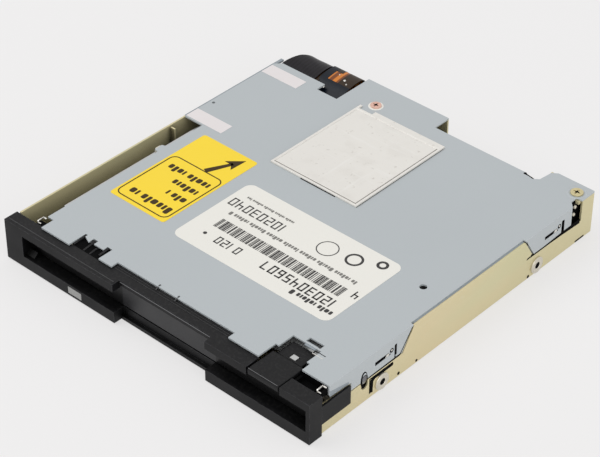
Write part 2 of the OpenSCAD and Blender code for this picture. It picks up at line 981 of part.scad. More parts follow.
// Bright hooks of the cover that grip the bezel's ends
module bezel_hooks() {
  hook_w = 1.6;
  hook_l = 2.2;
  color([0.8, 0.8, 0.78])
    seat()
      for (x = [front_left - hook_w - sheet_gap, half_w - 2 * hook_w]) {
        block([x, x + hook_w], [bezel_d + eps_gap, front_right_y - eps_gap],
              [bezel_h - cover_t, cover_low]);
        block([x, x + hook_w], [bezel_d - hook_l / 2, front_right_y - hook_l / 2],
              [bezel_h + eps_gap, cover_z]);
      }
}

module indicator_lens() {
  color([0.72, 0.72, 0.7])
    seat()
      block([lens_left, lens_left + lens_w], [eps_gap, lens_d], [lens_low, lens_low + lens_h]);
}

module indicator_led() {
  led_w = lens_w / 2;
  color([0.85, 0.9, 0.8])
    seat()
      block([lens_left + lens_w / 4, lens_left + lens_w / 4 + led_w],
            [main_front + sheet_gap, main_front + sheet_gap + led_w * 0.7],
            [main_z + main_t, main_z + main_t + lens_h / 2]);
}

module main_board() {
  color([0.2, 0.36, 0.24])
    seat()
      difference() {
        flat_shape([main_z, main_z + main_t], [
          [main_left, main_front + main_step_l],
          [main_left + main_step_w, main_front + main_step_l],
          [main_left + main_step_w, main_front],
          [main_right, main_front],
          [main_right, main_neck_y],
          [main_neck_x, main_neck_y + neck_slope],
          [main_neck_x, main_rear],
          [main_left - main_step_l, main_rear],
          [main_left - main_step_l, main_rear - main_step_w],
          [main_left, main_rear - main_step_w - main_step_l]
        ]);
        for (x = foot_x)
          block([x - sheet_gap, x + foot_w + sheet_gap], [main_front - cut, bezel_d + foot_l + sheet_gap],
                [main_z - cut, main_z + main_t + cut]);
        for (at = board_screw_at)
          bar_z(at[0], at[1], board_screw_shank_r + run_gap,
                [main_z - cut, main_z + main_t + cut]);
      }
}

module motor_board() {
  color([0.42, 0.3, 0.16])
    seat()
      difference() {
        flat_shape([floor_t, floor_t + board_t], [
          [motor_left, motor_front + motor_step],
          [motor_wing_x, motor_front + motor_step],
          [motor_wing_x, motor_front],
          [motor_right, motor_front],
          [motor_right, motor_wing_y],
          [motor_wing_x, motor_wing_y + neck_slope],
          [motor_wing_x, motor_rear],
          [motor_left, motor_rear]
        ]);
        bar_z(disk_x, spindle_y, flange_r + sheet_gap, [floor_t - cut, floor_t + board_t + cut]);
      }
}

// Chips as low blocks on the boards
module board_chips() {
  main_top = main_z + main_t;
  wide = main_right - main_left;
  long = main_rear - main_front;
  color([0.12, 0.12, 0.13])
    seat() {
      for (c = chip_shares)
        block([main_left + c[0] * wide, main_left + (c[0] + c[2]) * wide],
              [main_front + c[1] * long, main_front + (c[1] + c[3]) * long],
              [main_top, main_top + chip_h]);
      block([motor_wing_x + lug_w, motor_wing_x + 2 * lug_w],
            [motor_front + lug_w, motor_front + 3 * lug_w],
            [floor_t + board_t, floor_t + board_t + chip_h]);
    }
}

module board_screws() {
  top = main_z + main_t;
  color([0.8, 0.78, 0.7])
    seat()
      for (at = board_screw_at) {
        difference() {
          union() {
            bar_z(at[0], at[1], board_screw_r, [top, top + board_screw_h]);
            bar_z(at[0], at[1], board_screw_shank_r, [floor_t / 2, top + board_screw_h / 2]);
          }
          block([at[0] - board_screw_r / 2, at[0] + board_screw_r / 2],
                [at[1] - cross_w / 2, at[1] + cross_w / 2],
                [top + board_screw_h / 2, top + board_screw_h + cut]);
        }
      }
}

module index_sensor() {
  color([0.1, 0.1, 0.1])
    seat()
      block([disk_x - rotor_r - sensor_w - sheet_gap, disk_x - rotor_r - sheet_gap],
            [spindle_y - sensor_w, spindle_y + sensor_w],
            [floor_t + board_t, floor_t + board_t + sensor_h]);
}

module interface_connector() {
  top = main_z + main_t;
  color([0.88, 0.85, 0.76])
    seat()
      difference() {
        block([connector_left, connector_left + connector_w],
              [connector_y, connector_y + connector_l], [top, top + connector_h]);
        block([connector_left + film_t * 4, connector_left + connector_w - film_t * 4],
              [connector_y + connector_l / 2, connector_y + connector_l + cut],
              [top + connector_h * 0.35, top + connector_h * 0.65]);
      }
}

// Strip of flex bent in an arc behind the cover's rear left edge
module flex_arc(left, width, thick, r) {
  angles = [for (a = [arc_start : arc_step : arc_end]) a];
  outer = [for (a = angles) [ribbon_y + r * cos(a), ribbon_z + r * sin(a)]];
  inner_r = r - thick;
  count = len(angles);
  inner = [for (i = [0 : count - 1])
    [ribbon_y + inner_r * cos(angles[count - 1 - i]),
     ribbon_z + inner_r * sin(angles[count - 1 - i])]];
  tail_y = connector_y + connector_l + eps_gap;
  tail_outer = [[tail_y, ribbon_z + r * sin(arc_start)]];
  tail_inner = [[tail_y, ribbon_z + inner_r * sin(arc_start)]];
  side_shape([left, left + width], concat(tail_outer, outer, inner, tail_inner));
}

module flex_ribbon() {
  color([0.1, 0.1, 0.13])
    seat()
      flex_arc(ribbon_left, ribbon_w, ribbon_t, ribbon_r);
}

module polyimide_flex() {
  color([0.8, 0.45, 0.12])
    seat()
      flex_arc(film_left, film_w, film_t, film_r);
}

module stator_core() {
  color([0.5, 0.5, 0.52])
    seat()
      translate([disk_x, spindle_y, core_low])
        difference() {
          union() {
            cylinder(h = core_t, r = core_ring_r);
            for (i = [0 : pole_count - 1])
              rotate([0, 0, i * 360 / pole_count]) {
                translate([core_ring_r - cut, -pole_w / 2, 0])
                  cube([pole_r - core_ring_r, pole_w, core_t]);
                translate([pole_r - pole_tip_t, -pole_tip_w / 2, 0])
                  cube([pole_tip_t, pole_tip_w, core_t]);
              }
          }
          translate([0, 0, -cut])
            cylinder(h = core_t + 2 * cut, r = bearing_r + eps_gap);
        }
}

module stator_coils() {
  gap = eps_gap;
  color([0.72, 0.38, 0.16])
    seat()
      translate([disk_x, spindle_y, core_low])
        for (i = [0 : pole_count - 1])
          rotate([0, 0, i * 360 / pole_count])
            difference() {
              translate([coil_in, -pole_w / 2 - coil_wall, -coil_rise])
                cube([coil_out - coil_in, pole_w + 2 * coil_wall, core_t + 2 * coil_rise]);
              translate([coil_in - cut, -pole_w / 2 - gap, -gap])
                cube([coil_out - coil_in + 2 * cut, pole_w + 2 * gap, core_t + 2 * gap]);
            }
}

module spindle_bearing() {
  color([0.76, 0.6, 0.34])
    seat()
      difference() {
        union() {
          bar_z(disk_x, spindle_y, flange_r, [floor_t, floor_t + flange_h]);
          bar_z(disk_x, spindle_y, bearing_r, [floor_t, bearing_top]);
        }
        bar_z(disk_x, spindle_y, shaft_r + run_gap, [floor_t + eps_gap, bearing_top + cut]);
      }
}

module stepper_motor() {
  left = screw_x - stepper_w / 2;
  right = screw_x + stepper_w / 2;
  rear = overall_d - wall_t - eps_gap;
  mid_z = floor_t + stepper_h / 2;
  color([0.62, 0.62, 0.6])
    seat()
      difference() {
        union() {
          block([left + stepper_side_r, right - stepper_side_r], [stepper_y, rear],
                [floor_t, floor_t + stepper_h]);
          block([left, right], [stepper_y, rear],
                [floor_t + stepper_side_r, floor_t + stepper_h - stepper_side_r]);
          for (x = [left + stepper_side_r, right - stepper_side_r],
               z = [floor_t + stepper_side_r, floor_t + stepper_h - stepper_side_r])
            bar_y(x, z, stepper_side_r, [stepper_y, rear]);
        }
        bar_y(screw_x, feed_z, screw_end_r + run_gap, [stepper_y - cut, rear - cut]);
      }
}

module screw_bracket() {
  color([0.7, 0.7, 0.68])
    seat()
      difference() {
        block([screw_x - bracket_w / 2, screw_x + bracket_w / 2],
              [bracket_y, bracket_y + bracket_t], [floor_t, feed_z + bracket_w / 4]);
        bar_y(screw_x, feed_z, screw_end_r + run_gap,
              [bracket_y - cut, bracket_y + bracket_t + cut]);
      }
}

module guide_rod() {
  color([0.85, 0.86, 0.88])
    seat()
      bar_y(rod_x, feed_z, rod_r, [rod_start, rod_end]);
}

module rod_clamps() {
  starts = [rod_start - clamp_t / 2, rod_end - clamp_t / 2];
  color([0.15, 0.15, 0.16])
    seat()
      for (y = starts)
        difference() {
          block([rod_x - clamp_w / 2, rod_x + clamp_w / 2], [y, y + clamp_t / 2 + clamp_t / 3],
                [floor_t, floor_t + clamp_h]);
          bar_y(rod_x, feed_z, rod_r + eps_gap / 2, [rod_start, rod_end]);
        }
}

module lever_pin() {
  color([0.8, 0.8, 0.8])
    seat()
      union() {
        bar_z(lever_x, lever_y, lever_pin_r, [floor_t, lever_z + 2 * lever_t]);
        bar_z(lever_x, lever_y, lever_hub_r * lever_post_share, [floor_t, lever_z - eps_gap]);
      }
}

module sense_switches() {
  color([0.85, 0.84, 0.8])
    seat()
      for (i = [0 : len(plunger_at) - 1]) {
        at = plunger_at[i];
        base = i == 0 ? main_z + main_t : floor_t + board_t;
        difference() {
          block([at[0] - switch_w / 2, at[0] + switch_w / 2],
                [at[1] - switch_l / 2, at[1] + switch_l / 2], [base, switch_top]);
          bar_z(at[0], at[1], plunger_r + plunger_gap,
                [switch_top - plunger_travel - sheet_gap, switch_top + cut]);
        }
      }
}

// Plunger of one sense switch, which a disk pushes down
module sense_plunger(i) {
  at = plunger_at[i];
  color([0.15, 0.15, 0.15])
    seat()
      bar_z(at[0], at[1], plunger_r, [switch_top - sheet_gap / 2, plunger_top]);
}

module write_protect_plunger() {
  sense_plunger(0);
}

module density_plunger() {
  sense_plunger(1);
}

module disk_sense_plunger() {
  sense_plunger(2);
}

module white_label() {
  color([0.94, 0.93, 0.91])
    seat()
      rounded_slab([label_left, label_left + label_w], [label_front, label_front + label_h],
                   [cover_z, cover_z + label_t], label_corner);
}

module yellow_label() {
  color([1, 0.84, 0.2])
    seat()
      rounded_slab([sticker_left, sticker_left + sticker_w],
                   [sticker_front, sticker_front + sticker_h],
                   [cover_z, cover_z + label_t], sticker_corner);
}

module edge_tapes() {
  color([0.86, 0.84, 0.85])
    seat()
      for (y = tape_y)
        block([tape_left, tape_left + tape_w], [y, y + tape_l], [cover_z, cover_z + label_t]);
}

module eject_button() {
  left = button_x - tongue_w / 2;
  right = button_x + tongue_w / 2;
  rear = button_d + tongue_l;
  color([0.14, 0.14, 0.15])
    seat()
      difference() {
        union() {
          block([button_left, button_right], [0, button_d],
                [button_low, button_low + button_h]);
          flat_shape([tongue_low, tongue_low + tongue_t], [
            [left, button_d - cut],
            [left, rear],
            [right - tongue_cut, rear],
            [right, rear - tongue_cut],
            [right, button_d - cut]
          ]);
        }
        block([button_x + eye_shift - eye_w / 2, button_x + eye_shift + eye_w / 2],
              [eye_y, eye_y + eye_l], [tongue_low - cut, tongue_low + tongue_t + cut]);
      }
}

// Slanted slot in the slide plate's side wall that lowers a holder pin
module cam_slot(y) {
  r = pin_r + 3 * run_gap;
  slope = atan2(holder_drop, eject_travel);
  run = norm([holder_drop, eject_travel]);
  x = [disk_left - holder_wall - slide_wall_t - 2 * cut, disk_left - holder_wall + eps_gap];
  translate([x[0], y, pin_rest_z])
    rotate([-slope, 0, 0])
      translate([0, 0, -r])
        cube([x[1] - x[0], run, 2 * r]);
  bar_x(y, pin_rest_z, r, x);
  bar_x(y + eject_travel, pin_rest_z - holder_drop, r, x);
}

module slide_plate() {
  wall_right = disk_left - holder_wall - 0.2;
  wall_left = wall_right - slide_wall_t;
  slide_top = slide_low + slide_t;
  depth = slide_rear - slide_front;
  color([0.82, 0.83, 0.84])
    seat()
      difference() {
        union() {
          block([wall_left, slide_right], [slide_front, slide_rear], [slide_low, slide_top]);
          block([wall_left, wall_right], [slide_front, slide_wall_end],
                [slide_wall_low, slide_top]);
          block([button_x + eye_shift - slide_tab_w / 2, button_x + eye_shift + slide_tab_w / 2],
                [button_d + sheet_gap, slide_front + cut], [slide_low, slide_top]);
          block([button_x + eye_shift - eye_w / 2 + sheet_gap / 2,
                 button_x + eye_shift + eye_w / 2 - sheet_gap / 2],
                [eye_y + sheet_gap / 2, eye_y + eye_l - sheet_gap / 2],
                [slide_low, tongue_low + tongue_t - eps_gap]);
          for (x = spring_x)
            block([x - spring_hook_w, x + spring_hook_w],
                  [spring_start - cut, spring_start - eps_gap], [slide_low, cover_low - sheet_gap]);
        }
        block([bay_left, bay_right], [bay_y - eject_travel, slide_rear + cut],
              [slide_low - cut, slide_top + cut]);
        for (x = [wall_left + lug_w, disk_x + lug_w])
          block([x, x + (slide_right - wall_left) * slide_window_share],
                [slide_front + depth * slide_window_share / 2, slide_rear - depth * slide_window_share],
                [slide_low - cut, slide_top + cut]);
        for (y = pin_y)
          cam_slot(y);
      }
}

// Coil spring along Y as one unbroken tube
module coil_spring(x, y, z) {
  rings = spring_turns * spring_steps;
  points = [for (i = [0 : rings], j = [0 : spring_sides - 1])
    let (
      turn = i * 360 / spring_steps,
      around = j * 360 / spring_sides,
      out = spring_r + spring_wire_r * cos(around)
    )
    [x + out * cos(turn), y + spring_wire_r + (spring_l - 2 * spring_wire_r) * i / rings
      + spring_wire_r * sin(around), z + out * sin(turn)]];
  sides = [for (i = [0 : rings - 1], j = [0 : spring_sides - 1])
    let (
      a = i * spring_sides + j,
      b = i * spring_sides + (j + 1) % spring_sides
    )
    each [[a, b, a + spring_sides], [b, b + spring_sides, a + spring_sides]]];
  last = rings * spring_sides;
  caps = [
    [for (j = [0 : spring_sides - 1]) spring_sides - 1 - j],
    [for (j = [0 : spring_sides - 1]) last + j]
  ];
  polyhedron(points = points, faces = concat(sides, caps));
}

module eject_springs() {
  color([0.75, 0.75, 0.76])
    seat()
      for (x = spring_x)
        coil_spring(x, spring_start, spring_z);
}

module disk_holder() {
  color([0.8, 0.81, 0.82])
    seat()
      difference() {
        union() {
          block([disk_left - holder_wall, disk_right + holder_wall], [holder_front, holder_end],
                [holder_under, holder_top]);
          block([disk_left - holder_wall, disk_left], [holder_front, holder_end],
                [band_low - 2 * pin_r, holder_top]);
          block([disk_right, disk_right + holder_wall], [holder_front, holder_end],
                [band_low - 2 * pin_r, holder_top]);
          block([disk_left - holder_wall, disk_left], [lip_start, lip_end],
                [lip_top - holder_t, holder_top]);
          block([disk_right, disk_right + holder_wall], [lip_start, lip_end],
                [lip_top - holder_t, holder_top]);
          block([disk_left - holder_wall, disk_left + lip_w], [lip_start, lip_end],
                [lip_top - holder_t, lip_top]);
          block([disk_right - lip_w, disk_right + holder_wall], [lip_start, lip_end],
                [lip_top - holder_t, lip_top]);
        }
        block([bay_left, bay_right], [bay_y, holder_end + cut],
              [holder_under - cut, holder_top + cut]);
        for (y = [nut_front_y, nut_front_y + nut_pitch])
          block([disk_left - holder_wall - cut, disk_right + holder_wall + cut],
                [y - nut_r - cut, y + nut_r + cut], [0, nut_z + nut_r + holder_drop]);
      }
}

// Rivet pins on the holder: two in the cam wall, one in the right wall's guide hole
module holder_pins() {
  left_wall_x = disk_left - holder_wall;
  color([0.85, 0.85, 0.86])
    seat() {
      for (y = pin_y)
        bar_x(y, pin_rest_z, pin_r, [left_wall_x - slide_wall_t - cut, left_wall_x]);
      bar_x(guide_y, pin_rest_z, pin_r, [disk_right + holder_wall, half_w - eps_gap]);
    }
}

module dust_flap() {
  left = slot_left + flap_end_gap;
  right = slot_right - flap_end_gap;
  color([0.17, 0.17, 0.18])
    seat()
      union() {
        bar_x(flap_axis_y, flap_axis_z, flap_barrel_r, [left, right]);
        bar_x(flap_axis_y, flap_axis_z, flap_pin_r,
              [slot_left - flap_pin_l + eps_gap, slot_right + flap_pin_l - cut - eps_gap]);
        block([left, right], [flap_axis_y - flap_t / 2, flap_axis_y + flap_t / 2],
              [flap_low, flap_axis_z]);
      }
}

module rotor_yoke() {
  magnet_r = rotor_r - rotor_t;
  color([0.75, 0.76, 0.78])
    seat()
      difference() {
        bar_z(disk_x, spindle_y, rotor_r, [magnet_low, yoke_top]);
        bar_z(disk_x, spindle_y, magnet_r, [magnet_low - cut, yoke_top - rotor_t]);
        bar_z(disk_x, spindle_y, shaft_r + eps_gap, [magnet_low - cut, yoke_top + cut]);
      }
}

module rotor_magnet() {
  outer = rotor_r - rotor_t - magnet_gap;
  color([0.25, 0.24, 0.24])
    seat()
      difference() {
        bar_z(disk_x, spindle_y, outer, [magnet_low, yoke_top - rotor_t - magnet_gap]);
        bar_z(disk_x, spindle_y, outer - magnet_t, [magnet_low - cut, yoke_top]);
      }
}

module spindle_hub() {
  color([0.8, 0.8, 0.82])
    seat()
      union() {
        bar_z(disk_x, spindle_y, hub_r, [yoke_top, yoke_top + hub_t]);
        bar_z(disk_x, spindle_y, shaft_r, [shaft_low, shaft_top]);
      }
}

module drive_pin() {
  color([0.9, 0.88, 0.8])
    seat()
      bar_z(disk_x + drive_pin_x, spindle_y, drive_pin_r,
            [yoke_top + hub_t, yoke_top + hub_t + drive_pin_h]);
}

module head_carriage() {
  color([0.18, 0.18, 0.2])
    seat()
      difference() {
        union() {
          block([carriage_left, carriage_right], [carriage_front, carriage_rear],
                [carriage_low, carriage_top]);
          block([post_left, post_right], [carriage_rear - cut, post_rear],
                [carriage_low, carriage_top]);
          block([post_left, post_right], [post_y, post_rear],
                [carriage_low, arm_z - arm_barrel_r - sheet_gap]);
          for (x = [post_left, post_right - ear_t])
            block([x, x + ear_t], [post_y, post_rear], [carriage_low, arm_z + arm_barrel_r]);
        }
        bar_y(rod_x, feed_z, rod_r + run_gap, [carriage_front - cut, carriage_rear + cut]);
        for (x = [post_left, post_right - ear_t])
          bar_x(arm_y, arm_z, arm_pin_r + eps_gap / 2, [x - cut, x + ear_t + cut]);
      }
}

module lower_head() {
  color([0.55, 0.55, 0.58])
    seat()
      block([disk_x - head_w / 2, disk_x + head_w / 2], [head_y - head_l / 2, head_y + head_l / 2],
            [carriage_top, lower_head_top]);
}

module feed_pin() {
  color([0.85, 0.85, 0.86])
    seat()
      bar_x(head_y, feed_z, feed_pin_r, [screw_x + screw_r + feed_gap, carriage_left]);
}

module arm_pin() {
  color([0.85, 0.85, 0.86])
    seat()
      bar_x(arm_y, arm_z, arm_pin_r, [post_left, post_right]);
}

module head_arm() {
  left = post_left + ear_t + sheet_gap;
  right = post_right - ear_t - sheet_gap;
  color([0.7, 0.71, 0.72])
    seat()
      difference() {
        union() {
          bar_x(arm_y, arm_z, arm_barrel_r, [left, right]);
          flat_shape([arm_low_z, arm_low_z + arm_plate_t], [
            [left, arm_y],
            [right, arm_y],
            [right, arm_y - arm_neck_in],
            [disk_x + arm_half, head_y + arm_half],
            [disk_x + arm_half, arm_front_y],
            [disk_x - arm_half, arm_front_y],
            [left, head_y + arm_half]
          ]);
        }
        bar_x(arm_y, arm_z, arm_pin_r + run_gap, [left - cut, right + cut]);
      }
}

module upper_head() {
  color([0.55, 0.55, 0.58])
    seat()
      block([disk_x - head_w / 2, disk_x + head_w / 2], [head_y - head_l / 2, head_y + head_l / 2],
            [upper_head_low, arm_low_z]);
}

module arm_spring() {
  left = (post_left + post_right - arm_leaf_w) / 2;
  top = arm_low_z + arm_plate_t;
  color([0.85, 0.85, 0.86])
    seat()
      block([left, left + arm_leaf_w], [arm_front_y + arm_half, arm_y - arm_barrel_r],
            [top, top + arm_leaf_t]);
}

module lead_screw() {
  ridge_count = floor((feed_end - feed_start - screw_pitch) / screw_pitch);
  color([0.8, 0.8, 0.82])
    seat()
      union() {
        bar_y(screw_x, feed_z, screw_core_r, [feed_start, feed_end]);
        bar_y(screw_x, feed_z, screw_end_r, [bracket_y, overall_d - 2 * wall_t - cut]);
        for (i = [0 : ridge_count - 1])
          bar_y(screw_x, feed_z, screw_r, [feed_start + (i + 0.5) * screw_pitch,
                                           feed_start + (i + 1) * screw_pitch]);
      }
}

module trigger_lever() {
  run = norm([lever_x - finger_x, lever_y - finger_y]);
  turn = atan2(finger_y - lever_y, finger_x - lever_x);
  color([0.7, 0.7, 0.68])
    seat()
      difference() {
        union() {
          bar_z(lever_x, lever_y, lever_hub_r, [lever_z, lever_z + lever_t]);
          translate([lever_x, lever_y, lever_z])
            rotate([0, 0, turn])
              translate([0, -lever_w / 2, 0])
                cube([run, lever_w, lever_t]);
          bar_z(finger_x, finger_y, finger_pad_r, [lever_z, lever_z + lever_t]);
          bar_z(finger_x, finger_y, finger_r, [lever_z, finger_top]);
        }
        bar_z(lever_x, lever_y, lever_pin_r + run_gap, [lever_z - cut, lever_z + lever_t + cut]);
      }
}

chassis_frame();
side_nuts();
top_cover();
brass_screw();
copper_screw();
cover_patch();
front_bezel();
bezel_hooks();
indicator_lens();
indicator_led();
main_board();
motor_board();
board_chips();
board_screws();
index_sensor();
interface_connector();
flex_ribbon();
polyimide_flex();
stator_core();
stator_coils();
spindle_bearing();
stepper_motor();
screw_bracket();
guide_rod();
rod_clamps();
lever_pin();
sense_switches();
white_label();
yellow_label();
edge_tapes();
eject_button();
slide_plate();
eject_springs();
disk_holder();
holder_pins();
dust_flap();
rotor_yoke();
rotor_magnet();
spindle_hub();
drive_pin();
head_carriage();
lower_head();
feed_pin();
arm_pin();
head_arm();
upper_head();
arm_spring();
lead_screw();
trigger_lever();
write_protect_plunger();
density_plunger();
disk_sense_plunger();
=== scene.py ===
"""Finishes and fine pieces of a slim notebook disk drive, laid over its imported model."""

import logging
import math
from dataclasses import dataclass
from enum import Enum
from typing import Iterable, Optional, Sequence

import bmesh
import bpy
from mathutils import Matrix, Vector


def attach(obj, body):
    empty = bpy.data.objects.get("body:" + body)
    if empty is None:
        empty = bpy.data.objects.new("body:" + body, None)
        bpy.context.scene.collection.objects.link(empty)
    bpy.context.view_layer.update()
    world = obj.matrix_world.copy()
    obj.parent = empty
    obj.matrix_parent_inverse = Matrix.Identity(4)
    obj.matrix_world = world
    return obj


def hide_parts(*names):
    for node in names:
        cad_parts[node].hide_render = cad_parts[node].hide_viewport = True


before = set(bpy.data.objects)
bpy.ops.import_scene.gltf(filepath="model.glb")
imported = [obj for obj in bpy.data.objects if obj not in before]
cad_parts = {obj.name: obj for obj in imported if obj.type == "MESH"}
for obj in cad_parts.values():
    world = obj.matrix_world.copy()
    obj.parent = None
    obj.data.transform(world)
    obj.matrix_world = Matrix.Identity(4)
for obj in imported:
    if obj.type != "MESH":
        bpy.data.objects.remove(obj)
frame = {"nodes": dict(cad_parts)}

LOG = logging.getLogger("disk_drive")
MM = 0.001  # metres in a millimetre
HALF_DEPTH = 52.2  # half of the drive's depth in millimetres
AXIS_R = 0.02  # radius in millimetres that turned shapes leave open round their axis
ROUGH_DRIFT = 0.1  # spread of each finish's roughness
BUMP_DEPTH = 0.00003  # metres that a full step of the fine height stands for
# Painted shade in recesses keeps this share of the tone.
RECESS_SHADE_SHARE = 0.15  # share of the tone left in deep places
BAND_WAVE = 3.14  # lines in a metre to the scale of a banded wave
RING_WAVE = 6.28  # turns in a metre to the scale of a ringed wave
RING_STEPS = 36  # corners of an oval
LANES = 10  # columns across a film
INK_SINK = 0.02  # millimetres that print reaches into its label
SHARP_DEG = 40  # angle above which a smooth piece keeps its edge
BEVEL_DEG = 38  # angle above which an edge is rounded
FLAT_DEG = 0.6  # angle below which faces count as one
WELD_GAP = 0.000002  # metres below which corners are joined
Point = tuple[float, float]
Spot = tuple[float, float, float]
Tone = tuple[int, int, int]
DUST_TONE: Tone = (196, 194, 190)
# Near-black of the painted shade inside the disk slot.
SLOT_SHADE_TONE: Tone = (3, 3, 4)


class Body(Enum):
    """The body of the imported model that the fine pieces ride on."""

    CHASSIS = "chassis"


class Edge(Enum):
    """How far the edges of a piece are rounded, in millimetres."""

    NONE = 0.0
    SHEET = 0.07
    FINE = 0.12
    MOULDED = 0.3


def at(x: float, y: float, z: float) -> Vector:
    """Turns a place on the drive into the row frame.

    Args:
        x: Millimetres across, from the middle of the bezel.
        y: Millimetres to the rear, from the bezel's front face.
        z: Millimetres up from the underside.

    Returns:
        The same place in metres in the row frame.
    """
    return Vector((x * MM, (y - HALF_DEPTH) * MM, z * MM))


def linear(tone: Tone) -> tuple[float, float, float, float]:
    """Turns a display colour of 0 to 255 into a linear colour with alpha 1."""
    out = []
    for part in tone:
        v = part / 255
        out.append(v / 12.92 if v <= 0.04045 else ((v + 0.055) / 1.055) ** 2.4)
    return (out[0], out[1], out[2], 1.0)


class Graph:
    """A node tree with short calls for the nodes that the finishes use."""

    def __init__(self, tree: bpy.types.NodeTree) -> None:
        """Keeps the tree that the nodes go into."""
        self.tree = tree

    def add(self, kind: str, feeds: Optional[dict[object, object]] = None,
            **values: object) -> bpy.types.Node:
        """Adds one node.

        Args:
            kind: The node's type name, without the ShaderNode prefix.
            feeds: What feed() gives to each input, by the input's name or number.
            values: Properties of the node to set.

        Returns:
            The new node.
        """
        node = self.tree.nodes.new("ShaderNode" + kind)
        for name, value in values.items():
            setattr(node, name, value)
        for key, source in (feeds or {}).items():
            self.feed(node.inputs[key], source)
        return node

    def feed(self, target: bpy.types.NodeSocket, source: object) -> None:
        """Links a socket to another, or sets its value.

        Args:
            target: The input socket.
            source: An output socket, or a number, vector or colour.
        """
        if isinstance(source, bpy.types.NodeSocket):
            self.tree.links.new(source, target)
        else:
            target.default_value = source

    def math(self, operation: str, first: object, second: object = 0.0) -> bpy.types.NodeSocket:
        """Adds a Math node and returns its value."""
        return self.add("Math", {0: first, 1: second}, operation=operation).outputs[0]

    def product(self, *parts: object) -> bpy.types.NodeSocket:
        """Multiplies values, the first two first."""
        out = parts[0]
        for part in parts[1:]:
            out = self.math("MULTIPLY", out, part)
        return out

    def mix(self, share: object, first: object, second: object) -> bpy.types.NodeSocket:
        """Adds a colour Mix node and returns its colour."""
        return self.add("Mix", {0: share, 6: first, 7: second}, data_type="RGBA").outputs[2]

    def reach(self, value: object, low: float, high: float, out_low: float = 0.0,
              out_high: float = 1.0) -> bpy.types.NodeSocket:
        """Adds a clamped Map Range node.

        Args:
            value: The value to map.
            low: The value that gives out_low.
            high: The value that gives out_high.
            out_low: The lowest value given.
            out_high: The highest value given.

        Returns:
            The mapped value.
        """
        return self.add("MapRange", dict(enumerate((value, low, high, out_low, out_high)))).outputs[0]

    def place(self, stretch: Spot = (1.0, 1.0, 1.0)) -> bpy.types.NodeSocket:
        """Gives the object coordinates, stretched along each axis."""
        spot = self.add("TexCoord").outputs["Object"]
        return self.add("Mapping", {"Vector": spot, "Scale": stretch}).outputs[0]

    def noise(self, size: object, detail: float = 3.0,
              stretch: Spot = (1.0, 1.0, 1.0)) -> bpy.types.NodeSocket:
        """Adds a noise over the object's coordinates.

        Args:
            size: Repeats of the noise in a metre.
            detail: Octaves of the noise.
            stretch: Stretch of the coordinates along each axis.

        Returns:
            The noise's value, about 0.5 in the middle.
        """
        feeds = {"Vector": self.place(stretch), "Scale": size, "Detail": detail}
        return self.add("TexNoise", feeds).outputs[0]


class Effect:
    """A shader node group that several finishes share."""

    made: dict[str, bpy.types.NodeTree] = {}

    def __init__(self, name: str, inputs: Sequence[tuple[str, str, object]],
                 outputs: Sequence[tuple[str, str]]) -> None:
        """Opens the group with its named sockets.

        Args:
            name: The group's name.
            inputs: Name, socket kind and default of each input.
            outputs: Name and socket kind of each output.
        """
        self.tree = bpy.data.node_groups.new(name, "ShaderNodeTree")
        for label, kind, default in inputs:
            socket = self.tree.interface.new_socket(label, in_out="INPUT", socket_type=kind)
            socket.default_value = default
        for label, kind in outputs:
            self.tree.interface.new_socket(label, in_out="OUTPUT", socket_type=kind)
        self.graph = Graph(self.tree)
        self.source = self.tree.nodes.new("NodeGroupInput").outputs
        self.result = self.tree.nodes.new("NodeGroupOutput").inputs
        Effect.made[name] = self.tree

    def mask(self, *parts: object) -> None:
        """Gives out the product of the parts and the group's amount."""
        self.graph.feed(self.result["Mask"], self.graph.product(*parts, self.source["Amount"]))

    @staticmethod
    def put(graph: Graph, name: str, **values: object) -> bpy.types.Node:
        """Places a group in a material.

        Args:
            graph: The material's graph.
            name: The group's name.
            values: A value or socket for each input, with _ for a space.

        Returns:
            The group node.
        """
        node = graph.add("Group", node_tree=Effect.made[name])
        for label, value in values.items():
            graph.feed(node.inputs[label.replace("_", " ")], value)
        return node


